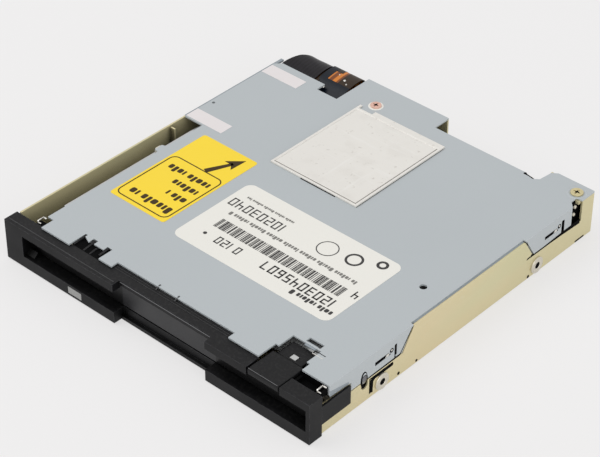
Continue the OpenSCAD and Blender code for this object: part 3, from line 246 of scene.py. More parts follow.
def make_effects() -> None:
    """Builds the groups for drift, grain, scratches, edge wear with painted highlight, dust and painted shade
    in recesses.
    """
    number, tone = "NodeSocketFloat", "NodeSocketColor"
    masked = [("Mask", number)]

    drift = Effect("tone drift", [("Tone", tone, (0.5, 0.5, 0.5, 1)), ("Size", number, 60.0),
                                  ("Depth", number, 0.1)], [("Tone", tone)])
    g = drift.graph
    wide = g.math("SUBTRACT", g.noise(drift.source["Size"], 4.0), 0.5)
    gain = g.math("ADD", g.product(wide, drift.source["Depth"]), 1.0)
    scaled = g.add("VectorMath", {0: drift.source["Tone"], "Scale": gain}, operation="SCALE")
    g.feed(drift.result["Tone"], scaled.outputs[0])

    grain = Effect("fine grain", [("Size", number, 3000.0), ("Depth", number, 0.2)], [("Height", number)])
    g = grain.graph
    g.feed(grain.result["Height"], g.product(g.noise(grain.source["Size"], 2.0), grain.source["Depth"]))

    scratch = Effect("rubbed lines", [("Amount", number, 0.3)], masked)
    g = scratch.graph
    along = g.reach(g.noise(900.0, 3.0, (0.06, 1.0, 1.0)), 0.6, 0.72)
    across = g.reach(g.noise(700.0, 3.0, (1.0, 0.05, 1.0)), 0.62, 0.74)
    scratch.mask(g.math("MAXIMUM", along, across), g.reach(g.noise(45.0, 2.0), 0.45, 0.6))

    # Edges found by the Bevel node get a lighter tone: partly wear, partly a painted highlight.
    wear_and_highlight = Effect("edge wear and painted highlight", [("Reach", number, 0.0002), ("Amount", number, 0.5)], masked)
    g = wear_and_highlight.graph
    bevel = g.add("Bevel", {"Radius": wear_and_highlight.source["Reach"]}, samples=4)
    normal = g.add("NewGeometry").outputs["Normal"]
    dot = g.add("VectorMath", {0: bevel.outputs[0], 1: normal}, operation="DOT_PRODUCT")
    wear_and_highlight.mask(g.reach(dot.outputs["Value"], 0.995, 0.86), g.reach(g.noise(500.0, 3.0), 0.35, 0.6))

    dust = Effect("settled dust", [("Amount", number, 0.1)], masked)
    g = dust.graph
    parts = g.add("SeparateXYZ", {0: g.add("NewGeometry").outputs["Normal"]})
    dust.mask(g.reach(parts.outputs["Z"], 0.5, 0.95), g.reach(g.noise(1400.0, 4.0), 0.5, 0.75))

    # Painted shade: darkens the tone where ambient occlusion finds nearby geometry.
    recess_shade = Effect("painted recess shade", [("Reach", number, 0.006), ("Amount", number, 0.5)], masked)
    near = recess_shade.graph.add("AmbientOcclusion", {"Distance": recess_shade.source["Reach"]}, samples=6, only_local=True)
    recess_shade.mask(recess_shade.graph.reach(near.outputs["AO"], 0.85, 0.4))


@dataclass(frozen=True)
class Finish:
    """A surface with drift of tone, grain, edge wear with a painted highlight, settled dust and painted shade
    in recesses.

    Drift and grain are given as repeats in a metre and depth; slot names a material slot and is not used.
    """

    name: str
    tone: Tone
    slot: str = ""
    rough: float = 0.5
    metal: float = 0.0
    coat: float = 0.0
    specular: float = 0.5
    drift: Point = (60.0, 0.12)
    grain: Point = (2500.0, 0.3)
    wear_and_highlight: Optional[tuple[Tone, float]] = None
    wear_and_highlight_reach: float = 0.00012
    rubbed: float = 0.0
    rubbed_tone: Tone = (230, 230, 228)
    dust: float = 0.0
    recess_shade: float = 0.0
    recess_shade_reach: float = 0.006

    def colour(self, graph: Graph) -> bpy.types.NodeSocket:
        """Gives the surface's colour before wear and dust."""
        return Effect.put(graph, "tone drift", Tone=linear(self.tone), Size=self.drift[0],
                          Depth=self.drift[1]).outputs["Tone"]

    def height(self, graph: Graph) -> bpy.types.NodeSocket:
        """Gives the surface's fine height."""
        return Effect.put(graph, "fine grain", Size=self.grain[0],
                          Depth=self.grain[1]).outputs["Height"]

    def dress(self, shader: bpy.types.Node) -> None:
        """Adds what only this kind of finish has; the plain finish adds nothing."""

    def material(self) -> bpy.types.Material:
        """Builds the material once and gives it back on later calls."""
        known = bpy.data.materials.get(self.name)
        if known:
            return known
        made = bpy.data.materials.new(self.name)
        made.use_nodes = True
        graph = Graph(made.node_tree)
        shader = made.node_tree.nodes["Principled BSDF"]
        tone = self.colour(graph)
        rough = graph.reach(graph.noise(self.drift[0] * 3), 0.3, 0.7, self.rough - ROUGH_DRIFT / 2,
                            self.rough + ROUGH_DRIFT / 2)
        if self.rubbed:
            mask = Effect.put(graph, "rubbed lines", Amount=self.rubbed).outputs["Mask"]
            tone = graph.mix(mask, tone, linear(self.rubbed_tone))
            rough = graph.math("SUBTRACT", rough, graph.product(mask, 0.15))
        # Lighter edges: partly wear, partly a painted highlight.
        if self.wear_and_highlight:
            mask = Effect.put(graph, "edge wear and painted highlight", Reach=self.wear_and_highlight_reach, Amount=self.wear_and_highlight[1]).outputs["Mask"]
            tone = graph.mix(mask, tone, linear(self.wear_and_highlight[0]))
        if self.dust:
            mask = Effect.put(graph, "settled dust", Amount=self.dust).outputs["Mask"]
            tone = graph.mix(mask, tone, linear(DUST_TONE))
            rough = graph.math("ADD", rough, graph.product(mask, 0.3))
        # Painted shade in recesses, from ambient occlusion.
        if self.recess_shade:
            mask = Effect.put(graph, "painted recess shade", Reach=self.recess_shade_reach, Amount=self.recess_shade).outputs["Mask"]
            tone = graph.mix(mask, tone, linear(tuple(round(v * RECESS_SHADE_SHARE) for v in self.tone)))
        bump = graph.add("Bump", {"Strength": 0.25, "Distance": BUMP_DEPTH, "Height": self.height(graph)})
        for label, source in (("Base Color", tone), ("Roughness", rough), ("Normal", bump.outputs[0]),
                              ("Metallic", self.metal), ("Coat Weight", self.coat),
                              ("Specular IOR Level", self.specular)):
            graph.feed(shader.inputs[label], source)
        self.dress(shader)
        return made


@dataclass(frozen=True)
class SlottedFinish(Finish):
    """Black plastic with painted shade inside the disk slot, where it gets next to no light."""

    low: float = 0.0033
    high: float = 0.0095
    front: float = -0.0516
    fade: float = 0.0008
    half: float = 0.0479
    scoop: Point = (-0.0121, 0.0178)

    def colour(self, graph: Graph) -> bpy.types.NodeSocket:
        """Paints shade over the tone between the slot's sills, but not in the thumb scoop."""
        parts = graph.add("SeparateXYZ", {0: graph.add("TexCoord").outputs["Object"]})
        x, y, z = (parts.outputs[k] for k in "XYZ")
        level = graph.product(graph.math("GREATER_THAN", z, self.low), graph.math("LESS_THAN", z, self.high))
        behind = graph.product(graph.reach(y, self.front, self.front + self.fade),
                               graph.math("LESS_THAN", graph.math("ABSOLUTE", x), self.half))
        beside = graph.math("MAXIMUM", graph.math("LESS_THAN", x, self.scoop[0]),
                            graph.math("GREATER_THAN", x, self.scoop[1]))
        inside = graph.product(level, behind, beside)
        return graph.mix(inside, super().colour(graph), linear(SLOT_SHADE_TONE))


@dataclass(frozen=True)
class PlatedFinish(Finish):
    """Passivated steel whose pale gold shifts to pink and green in patches."""

    warm: Tone = (224, 205, 166)
    cool: Tone = (208, 206, 164)

    def colour(self, graph: Graph) -> bpy.types.NodeSocket:
        """Drifts between the plain tone, a pinkish one and a greenish one."""
        plain = super().colour(graph)
        warm = graph.mix(graph.reach(graph.noise(30.0, 3.0), 0.48, 0.72, 0.0, 0.5), plain, linear(self.warm))
        return graph.mix(graph.reach(graph.noise(42.0, 2.0, (1.0, 0.5, 2.0)), 0.5, 0.75, 0.0, 0.6), warm,
                         linear(self.cool))


@dataclass(frozen=True)
class StainedFinish(Finish):
    """Bare steel with soft cloudy stains and a few fine marks."""

    stain: Tone = (205, 200, 192)

    def colour(self, graph: Graph) -> bpy.types.NodeSocket:
        """Lays clouds and a few small marks over the plain tone."""
        plain = super().colour(graph)
        cloud = graph.mix(graph.reach(graph.noise(140.0, 8.0), 0.52, 0.8, 0.0, 0.4), plain,
                          linear(self.stain))
        return graph.mix(graph.reach(graph.noise(900.0, 3.0), 0.64, 0.74, 0.0, 0.35), cloud,
                         linear((170, 160, 148)))


@dataclass(frozen=True)
class PaperFinish(Finish):
    """A printed label with short fibres under a thin film."""

    def height(self, graph: Graph) -> bpy.types.NodeSocket:
        """Crosses two sets of stretched noise for the fibres."""
        one = graph.noise(2600.0, 2.0, (0.2, 1.0, 1.0))
        two = graph.noise(2600.0, 2.0, (1.0, 0.2, 1.0))
        return graph.product(graph.math("ADD", one, two), self.grain[1])


@dataclass(frozen=True)
class BoardFinish(Finish):
    """A circuit board with tracks, pads and solder under its lacquer."""

    track: Tone = (84, 128, 84)
    pad: Tone = (205, 200, 180)

    def colour(self, graph: Graph) -> bpy.types.NodeSocket:
        """Draws tracks as the edges of square cells, and pads at a few of them."""
        plain = super().colour(graph)
        cells = graph.add("TexVoronoi", {"Vector": graph.place(), "Scale": 420.0}, distance="CHEBYCHEV",
                          feature="F1")
        rings = graph.math("PINGPONG", cells.outputs["Distance"], 0.12)
        lined = graph.mix(graph.reach(rings, 0.045, 0.06, 0.0, 0.8), plain, linear(self.track))
        return graph.mix(graph.reach(cells.outputs["Distance"], 0.1, 0.06), lined, linear(self.pad))


@dataclass(frozen=True)
class WoundFinish(Finish):
    """Enamelled copper wire in close turns."""

    turns: float = 5200.0

    def height(self, graph: Graph) -> bpy.types.NodeSocket:
        """Rounds each turn of the wire."""
        wave = graph.add("TexWave", {"Vector": graph.place(), "Scale": self.turns / RING_WAVE},
                         wave_type="RINGS", rings_direction="Z")
        return wave.outputs["Fac"]


@dataclass(frozen=True)
class FilmFinish(Finish):
    """A flexible film with its conductors showing as fine raised lines."""

    line: Tone = (60, 52, 66)
    pitch: float = 900.0

    def lines(self, graph: Graph) -> bpy.types.NodeSocket:
        """Gives a value that rises over each conductor, which run along Y."""
        wave = graph.add("TexWave", {"Vector": graph.place(), "Scale": self.pitch / BAND_WAVE},
                         bands_direction="X")
        return graph.reach(wave.outputs["Fac"], 0.35, 0.65)

    def colour(self, graph: Graph) -> bpy.types.NodeSocket:
        """Tints the conductors."""
        return graph.mix(self.lines(graph), super().colour(graph), linear(self.line))

    def height(self, graph: Graph) -> bpy.types.NodeSocket:
        """Raises the conductors."""
        return self.lines(graph)


@dataclass(frozen=True)
class LensFinish(Finish):
    """Milky clear plastic over the lamp."""

    def dress(self, shader: bpy.types.Node) -> None:
        """Lets some light through the window."""
        shader.inputs["Subsurface Weight"].default_value = 0.3
        shader.inputs["Subsurface Radius"].default_value = (0.001, 0.001, 0.001)


class Finishes:
    """Every finish of the drive, by its own name."""

    cover = Finish("painted cover", (184, 190, 193), "cover_steel", rough=0.46, specular=0.4,
                   drift=(22.0, 0.06), grain=(5200.0, 0.25), wear_and_highlight=((214, 220, 224), 0.55), dust=0.05)
    plate = StainedFinish("bare plate", (232, 229, 223), "plate_steel", rough=0.42, metal=0.15,
                          drift=(30.0, 0.07), grain=(3800.0, 0.4), wear_and_highlight=((250, 250, 248), 0.5), rubbed=0.25,
                          rubbed_tone=(246, 245, 242))
    frame = PlatedFinish("chromated frame", (214, 204, 162), "chromate_steel", rough=0.42, metal=0.3,
                         drift=(30.0, 0.12), grain=(3500.0, 0.35), wear_and_highlight=((230, 226, 206), 0.5), rubbed=0.2,
                         rubbed_tone=(222, 216, 190), recess_shade=1.0, recess_shade_reach=0.014)
    bezel = SlottedFinish("black bezel", (14, 14, 16), "bezel_plastic", rough=0.5, specular=0.22,
                          drift=(50.0, 0.3), grain=(4200.0, 0.7), wear_and_highlight=((78, 78, 82), 0.8), wear_and_highlight_reach=0.0002,
                          dust=0.02, recess_shade=1.0, recess_shade_reach=0.008)
    flap = SlottedFinish("black flap", (40, 40, 42), "bezel_plastic", rough=0.4, specular=0.4,
                         drift=(40.0, 0.2), grain=(4200.0, 0.4), wear_and_highlight=((84, 84, 86), 0.5), dust=0.05,
                         recess_shade=1.0, recess_shade_reach=0.005)
    bright = Finish("bright steel", (226, 224, 218), "nut_steel", rough=0.27, metal=0.9, drift=(160.0, 0.12),
                    grain=(6000.0, 0.3), wear_and_highlight=((250, 250, 250), 0.4))
    nickel = Finish("nickel nut", (212, 206, 192), "nut_steel", rough=0.3, metal=0.7, drift=(260.0, 0.2),
                    grain=(6000.0, 0.3), wear_and_highlight=((236, 232, 220), 0.6))
    # Painted shadow: near-black laid in holes, slots, reliefs and gaps that fall in shade.
    shadow = Finish("painted shadow black", (5, 5, 6), "chip_plastic", rough=0.8, specular=0.06, drift=(300.0, 0.3),
                    grain=(2500.0, 0.4))
    # Painted shade: a darker copy of the cover's paint, for its turned edges and the pads in its slots.
    hem = Finish("hem paint in painted shade", (150, 158, 164), "cover_steel", rough=0.5, specular=0.3, drift=(60.0, 0.1),
                 grain=(5200.0, 0.25))
    zinc = Finish("zinc steel", (196, 197, 196), "zinc_steel", rough=0.36, metal=0.75, drift=(90.0, 0.2),
                  grain=(3000.0, 0.4), wear_and_highlight=((232, 232, 230), 0.4), rubbed=0.3)
    brass = Finish("brass screw", (208, 196, 152), "brass", rough=0.36, metal=0.5, drift=(260.0, 0.2),
                   grain=(5000.0, 0.3), wear_and_highlight=((246, 226, 160), 0.6))
    copper = Finish("copper screw", (226, 184, 168), "copper", rough=0.4, metal=0.4, drift=(260.0, 0.25),
                    grain=(5000.0, 0.3), wear_and_highlight=((240, 196, 180), 0.6))
    white = PaperFinish("white label", (239, 237, 230), "white_paper", rough=0.5, coat=0.05, specular=0.3,
                        drift=(35.0, 0.04))
    yellow = PaperFinish("yellow label", (255, 222, 62), "yellow_paper", rough=0.55, coat=0.05, specular=0.25,
                         drift=(35.0, 0.05))
    tape = PaperFinish("pale tape", (232, 226, 226), "tape", rough=0.5, drift=(80.0, 0.06),
                       grain=(2500.0, 0.5))
    ink = Finish("label ink", (42, 40, 40), "chip_plastic", rough=0.5, drift=(400.0, 0.3),
                 grain=(2500.0, 0.2))
    warm_ink = Finish("warm label ink", (62, 46, 14), "chip_plastic", rough=0.5, specular=0.2,
                      drift=(400.0, 0.2), grain=(2500.0, 0.2))
    sheen = Finish("lit edge line", (112, 112, 114), "bezel_plastic", rough=0.4, drift=(200.0, 0.4),
                   grain=(2500.0, 0.2))
    # Painted shade: a darker copy of the bare plate for its groove.
    groove = Finish("painted groove shade", (134, 130, 124), "plate_steel", rough=0.6, specular=0.2,
                    drift=(120.0, 0.3))
    faint_ink = Finish("thin label ink", (120, 118, 114), "chip_plastic", rough=0.5, drift=(400.0, 0.3),
                       grain=(2500.0, 0.2))
    ribbon = FilmFinish("ribbon film", (13, 11, 15), "ribbon_film", rough=0.3, coat=0.04, specular=0.2,
                        drift=(120.0, 0.4), line=(22, 18, 25), pitch=900.0)
    amber = FilmFinish("amber film", (214, 128, 44), "amber_film", rough=0.28, coat=0.1, specular=0.3,
                       drift=(120.0, 0.4), line=(120, 62, 20), pitch=420.0)
    navy = Finish("navy mask", (12, 20, 31), "ribbon_film", rough=0.34, coat=0.04, specular=0.2,
                  drift=(300.0, 0.5))
    brown = Finish("brown mask", (46, 31, 14), "amber_film", rough=0.35, coat=0.06, specular=0.25,
                   drift=(300.0, 0.5))
    green_board = BoardFinish("green board", (44, 92, 58), "green_board", rough=0.35, coat=0.3,
                              drift=(90.0, 0.12))
    brown_board = BoardFinish("brown board", (104, 74, 42), "brown_board", rough=0.4, coat=0.2,
                              drift=(90.0, 0.12), track=(150, 112, 66))
    chip = Finish("moulded chip", (34, 34, 36), "chip_plastic", rough=0.55, drift=(300.0, 0.25),
                  grain=(2500.0, 0.6), wear_and_highlight=((80, 80, 82), 0.3))
    socket = Finish("socket plastic", (224, 218, 200), "connector_plastic", rough=0.45, drift=(200.0, 0.12),
                    grain=(2500.0, 0.4), wear_and_highlight=((240, 236, 224), 0.3))
    lens = LensFinish("lamp window", (154, 154, 152), "lens_plastic", rough=0.3, coat=0.2, drift=(300.0, 0.1),
                      grain=(2500.0, 0.2))
    lamp = Finish("lamp body", (214, 226, 196), "led_plastic", rough=0.2, coat=0.4, drift=(300.0, 0.12),
                  grain=(2500.0, 0.1))
    core = Finish("stacked core", (120, 120, 124), "core_steel", rough=0.45, metal=0.8, drift=(200.0, 0.3),
                  grain=(2500.0, 0.5))
    coil = WoundFinish("wound copper", (188, 104, 58), "coil_copper", rough=0.3, metal=0.6,
                       drift=(500.0, 0.3))
    magnet = Finish("sintered magnet", (70, 70, 74), "magnet", rough=0.6, metal=0.3, drift=(300.0, 0.3),
                    grain=(2500.0, 0.8))
    spring = Finish("spring steel", (206, 204, 198), "spring_steel", rough=0.25, metal=0.9,
                    drift=(400.0, 0.2), grain=(2500.0, 0.2))
    ceramic = Finish("head ceramic", (222, 220, 212), "head_ceramic", rough=0.25, coat=0.3,
                     drift=(400.0, 0.08), grain=(2500.0, 0.2))
    carriage = Finish("carriage plastic", (48, 48, 52), "carriage_plastic", rough=0.5, drift=(150.0, 0.2),
                      grain=(2500.0, 0.6), wear_and_highlight=((90, 90, 92), 0.3))


class Mesh:
    """Collects geometry, given in millimetres on the drive, for one piece."""

    def __init__(self, name: str) -> None:
        """Starts an empty piece of that name."""
        self.name = name
        self.bm = bmesh.new()

    def ring(self, spots: Iterable[Spot]) -> list[bmesh.types.BMVert]:
        """Adds one loop of corners."""
        return [self.bm.verts.new(at(*s)) for s in spots]

    def skin(self, rings: Sequence[Sequence[bmesh.types.BMVert]], caps: bool = True) -> None:
        """Joins loops of equal length.

        Args:
            rings: The loops in order.
            caps: True to fill the first and the last loop.
        """
        for low, high in zip(rings, rings[1:]):
            for i in range(len(low)):
                j = (i + 1) % len(low)
                self.bm.faces.new((low[i], low[j], high[j], high[i]))
        if caps:
            self.bm.faces.new(list(reversed(rings[0])))
            self.bm.faces.new(list(rings[-1]))

    def slab(self, outline: Sequence[Point], low: float, high: float) -> None:
        """Adds an outline in X and Y as a slab between two heights."""
        self.skin([self.ring((x, y, z) for x, y in outline) for z in (low, high)])

    def side(self, outline: Sequence[Point], left: float, right: float) -> None:
        """Adds an outline in Y and Z as a slab between two places across."""
        self.skin([self.ring((x, y, z) for y, z in outline) for x in (left, right)])

    def hoop(self, loops: Iterable[Iterable[Spot]]) -> None:
        """Joins loops of corners into a ring that closes on its first loop."""
        rings = [self.ring(loop) for loop in loops]
        self.skin(rings + [rings[0]], caps=False)

    def turned(self, centre: Spot, axis: str, outline: Sequence[Point], steps: int = 40) -> None:
        """Turns an outline round an axis.

        Args:
            centre: The place that the outline's distances start from.
            axis: The axis, x, y or z.
            outline: Radius and distance along the axis, as a closed loop.
            steps: Corners round the axis.
        """
        loops = []
        for i in range(steps):
            turn = 2 * math.pi * i / steps
            c, s = math.cos(turn), math.sin(turn)
            spots = []
            for r, h in outline:
                offset = {"x": (h, r * c, r * s), "y": (r * c, h, r * s), "z": (r * c, r * s, h)}[axis]
                spots.append(tuple(a + b for a, b in zip(centre, offset)))
            loops.append(spots)
        self.hoop(loops)

    def strip(self, rail: Sequence[Point], left: float, right: float, thick: float,
              slant: Optional[Sequence[float]] = None, sway: float = 0.0) -> None:
        """Sweeps a thin film across the drive along a rail in Y and Z.

        Args:
            rail: Places of the film's middle.
            left: The film's left edge.
            right: The film's right edge.
            thick: The film's thickness.
            slant: How far the left edge stands in at each place of the rail.
            sway: How far the film's middle lanes rise over its edges.
        """
        normals = []
        for i in range(len(rail)):
            a, b = rail[max(i - 1, 0)], rail[min(i + 1, len(rail) - 1)]
            run = math.hypot(b[0] - a[0], b[1] - a[1])
            normals.append(((b[1] - a[1]) / run, -(b[0] - a[0]) / run))
        rings = []
        for i, ((y, z), (ny, nz)) in enumerate(zip(rail, normals)):
            top, low = [], []
            start = left + (slant[i] if slant else 0.0)
            for k in range(LANES + 1):
                share = k / LANES
                x = start + (right - start) * share
                lift = sway * math.sin(math.pi * share) * (0.6 + 0.4 * math.cos(y * 1.7 + x * 0.9))
                top.append((x, y + ny * (thick / 2 + lift), z + nz * (thick / 2 + lift)))
                low.append((x, y + ny * (lift - thick / 2), z + nz * (lift - thick / 2)))
            rings.append(self.ring(top + low[::-1]))
        self.skin(rings)

    def finish(self, finish: Finish, smooth: bool = False, edge: Edge = Edge.NONE, slot: str = "",
               body: Body = Body.CHASSIS) -> bpy.types.Object:
        """Makes the piece, dresses it and lets it ride.

        Args:
            finish: The piece's finish.
            smooth: True to shade across its faces.
            edge: How far its edges are rounded.
            slot: Not used.
            body: The body that carries it.

        Returns:
            The new object.
        """
        bmesh.ops.recalc_face_normals(self.bm, faces=self.bm.faces)
        data = bpy.data.meshes.new(self.name)
        self.bm.to_mesh(data)
        self.bm.free()
        for face in data.polygons:
            face.use_smooth = smooth
        piece = bpy.data.objects.new(self.name, data)
        bpy.context.scene.collection.objects.link(piece)
        data.materials.append(finish.material())
        if smooth:
            data.set_sharp_from_angle(angle=math.radians(SHARP_DEG))
        if edge is not Edge.NONE:
            round_edges(piece, edge)
        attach(piece, body.value)
        LOG.info("piece %s rides on %s", self.name, body.value)
        return piece


def round_edges(piece: bpy.types.Object, edge: Edge) -> None:
    """Rounds the edges of a piece with modifiers, so that they catch the light."""
    weld = piece.modifiers.new("weld", "WELD")
    weld.merge_threshold = WELD_GAP
    plain = piece.modifiers.new("whole faces", "DECIMATE")
    plain.decimate_type = "DISSOLVE"
    plain.angle_limit = math.radians(FLAT_DEG)
    bevel = piece.modifiers.new("rounded edges", "BEVEL")
    bevel.width = edge.value * MM
    bevel.segments = 2
    bevel.limit_method = "ANGLE"
    bevel.angle_limit = math.radians(BEVEL_DEG)
    bevel.use_clamp_overlap = True
    for face in piece.data.polygons:
        face.use_smooth = True
    even = piece.modifiers.new("even shading", "WEIGHTED_NORMAL")
    even.keep_sharp = True


def dress_node(name: str, finish: Finish, edge: Edge = Edge.NONE) -> None:
    """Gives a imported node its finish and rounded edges.

    Args:
        name: The node's name.
        finish: Its finish.
        edge: How far its edges are rounded.
    """
    node = frame["nodes"][name]
    node.data.materials.clear()
    node.data.materials.append(finish.material())
    if edge is not Edge.NONE:
        normals = node.data.attributes.get("custom_normal")
        if normals:
            node.data.attributes.remove(normals)
        round_edges(node, edge)
    LOG.info("node %s dressed as %s", name, finish.name)


def rounded(left: float, right: float, front: float, rear: float, corner: float,
            steps: int = 6) -> list[Point]:
    """Gives a rectangle in X and Y with rounded corners.

    Args:
        left: Lowest X.
        right: Highest X.
        front: Lowest Y.
        rear: Highest Y.
        corner: Radius of the corners.
        steps: Steps in each corner.

    Returns:
        The corners of the outline, counter-clockwise.
    """
    out = []
    for cx, cy, start in ((right - corner, rear - corner, 0), (left + corner, rear - corner, 90),
                          (left + corner, front + corner, 180), (right - corner, front + corner, 270)):
        for k in range(steps + 1):
            turn = math.radians(start + 90 * k / steps)
            out.append((cx + corner * math.cos(turn), cy + corner * math.sin(turn)))
    return out


def rect(low: float, high: float, near: float, far: float) -> list[Point]:
    """Gives a plain rectangle: two limits along the first axis, then two along the second."""
    return [(low, near), (high, near), (high, far), (low, far)]


def disc(radius: float, thick: float) -> list[Point]:
    """Gives the outline that turns into a flat disc."""
    return [(AXIS_R, 0.0), (radius, 0.0), (radius, thick), (AXIS_R, thick)]


def oval(centre: Point, wide: float, tall: float) -> list[Point]:
    """Gives an oval from its middle and its half lengths along both axes."""
    turns = [k * 2 * math.pi / RING_STEPS for k in range(RING_STEPS)]
    return [(centre[0] + wide * math.cos(t), centre[1] + tall * math.sin(t)) for t in turns]


@dataclass
class Cover:
    """The top cover with its raised plate, screws, rims and paint ring."""

    top: float = 12.2
    plate_top: float = 12.7
    copper: Point = (-14.8, 96.0)
    brass: Point = (45.7, 100.3)
    peep: Point = (41.5, 47.1)
    peep_r: float = 0.95
    groove: tuple[float, float, float, float] = (-17.04, 9.54, 60.16, 91.24)
    groove_w: float = 0.23

    def build(self) -> None:
        """Dresses the nodes and adds the fine pieces."""
        dress_node("top_cover", Finishes.cover, Edge.SHEET)
        dress_node("cover_patch", Finishes.plate, Edge.FINE)
        dress_node("brass_screw", Finishes.brass, Edge.SHEET)
        dress_node("copper_screw", Finishes.copper, Edge.SHEET)
        self.rims()

    def rims(self) -> None:
        """Adds the rim of the round hole, the painted shade in the plate's groove and under its front edge,
        the roller, the paint ring and the dish.
        """
        rim = Mesh("peep_rim")
        r = self.peep_r
        rim.turned((*self.peep, self.top), "z", [(r, -0.12), (r, 0.05), (r + 0.12, 0.1), (r + 0.3, 0.08),
                                                 (r + 0.42, 0.0), (r + 0.42, -0.12)])
        rim.finish(Finishes.cover, smooth=True)
        # Painted shade along the plate's groove.
        groove = Mesh("plate_groove_shade")
        left, right, front, rear = self.groove
        inner, behind = right - self.groove_w, front + self.groove_w
        for outline in (rect(left, right, front, behind), rect(inner, right, behind, rear)):
            groove.slab(outline, self.plate_top - 0.16, self.plate_top - 0.03)
        groove.finish(Finishes.groove)
        # Painted shadow under the plate's front edge.
        under = Mesh("plate_shadow")
        under.side([(59.3, 12.19), (59.6, 12.19), (59.6, 12.34), (59.3, 12.3)], -7.6, 3.6)
        under.slab(rect(10.1, 10.3, 59.6, 92.6), 12.19, 12.24)
        under.finish(Finishes.shadow, slot="plate_steel")
        bump = Mesh("channel_roller")
        bump.turned((-43.0, 45.9, 10.9), "y",
                    [(AXIS_R, -1.1), (0.7, -1.0), (0.95, -0.6), (0.95, 0.6), (0.7, 1.0), (AXIS_R, 1.1)], 28)
        bump.finish(Finishes.socket, smooth=True)
        ring = Mesh("paint_ring")
        ring.turned((*self.copper, self.top), "z",
                    [(1.4, 0.0), (1.42, 0.06), (1.85, 0.07), (1.98, 0.03), (2.0, 0.0)])
        ring.finish(Finishes.white, smooth=True)
        dish = Mesh("screw_dish")
        dish.turned((*self.brass, self.top), "z",
                    [(1.55, 0.0), (1.6, 0.04), (2.2, 0.05), (2.4, 0.02), (2.42, 0.0)])
        dish.finish(Finishes.cover, smooth=True)


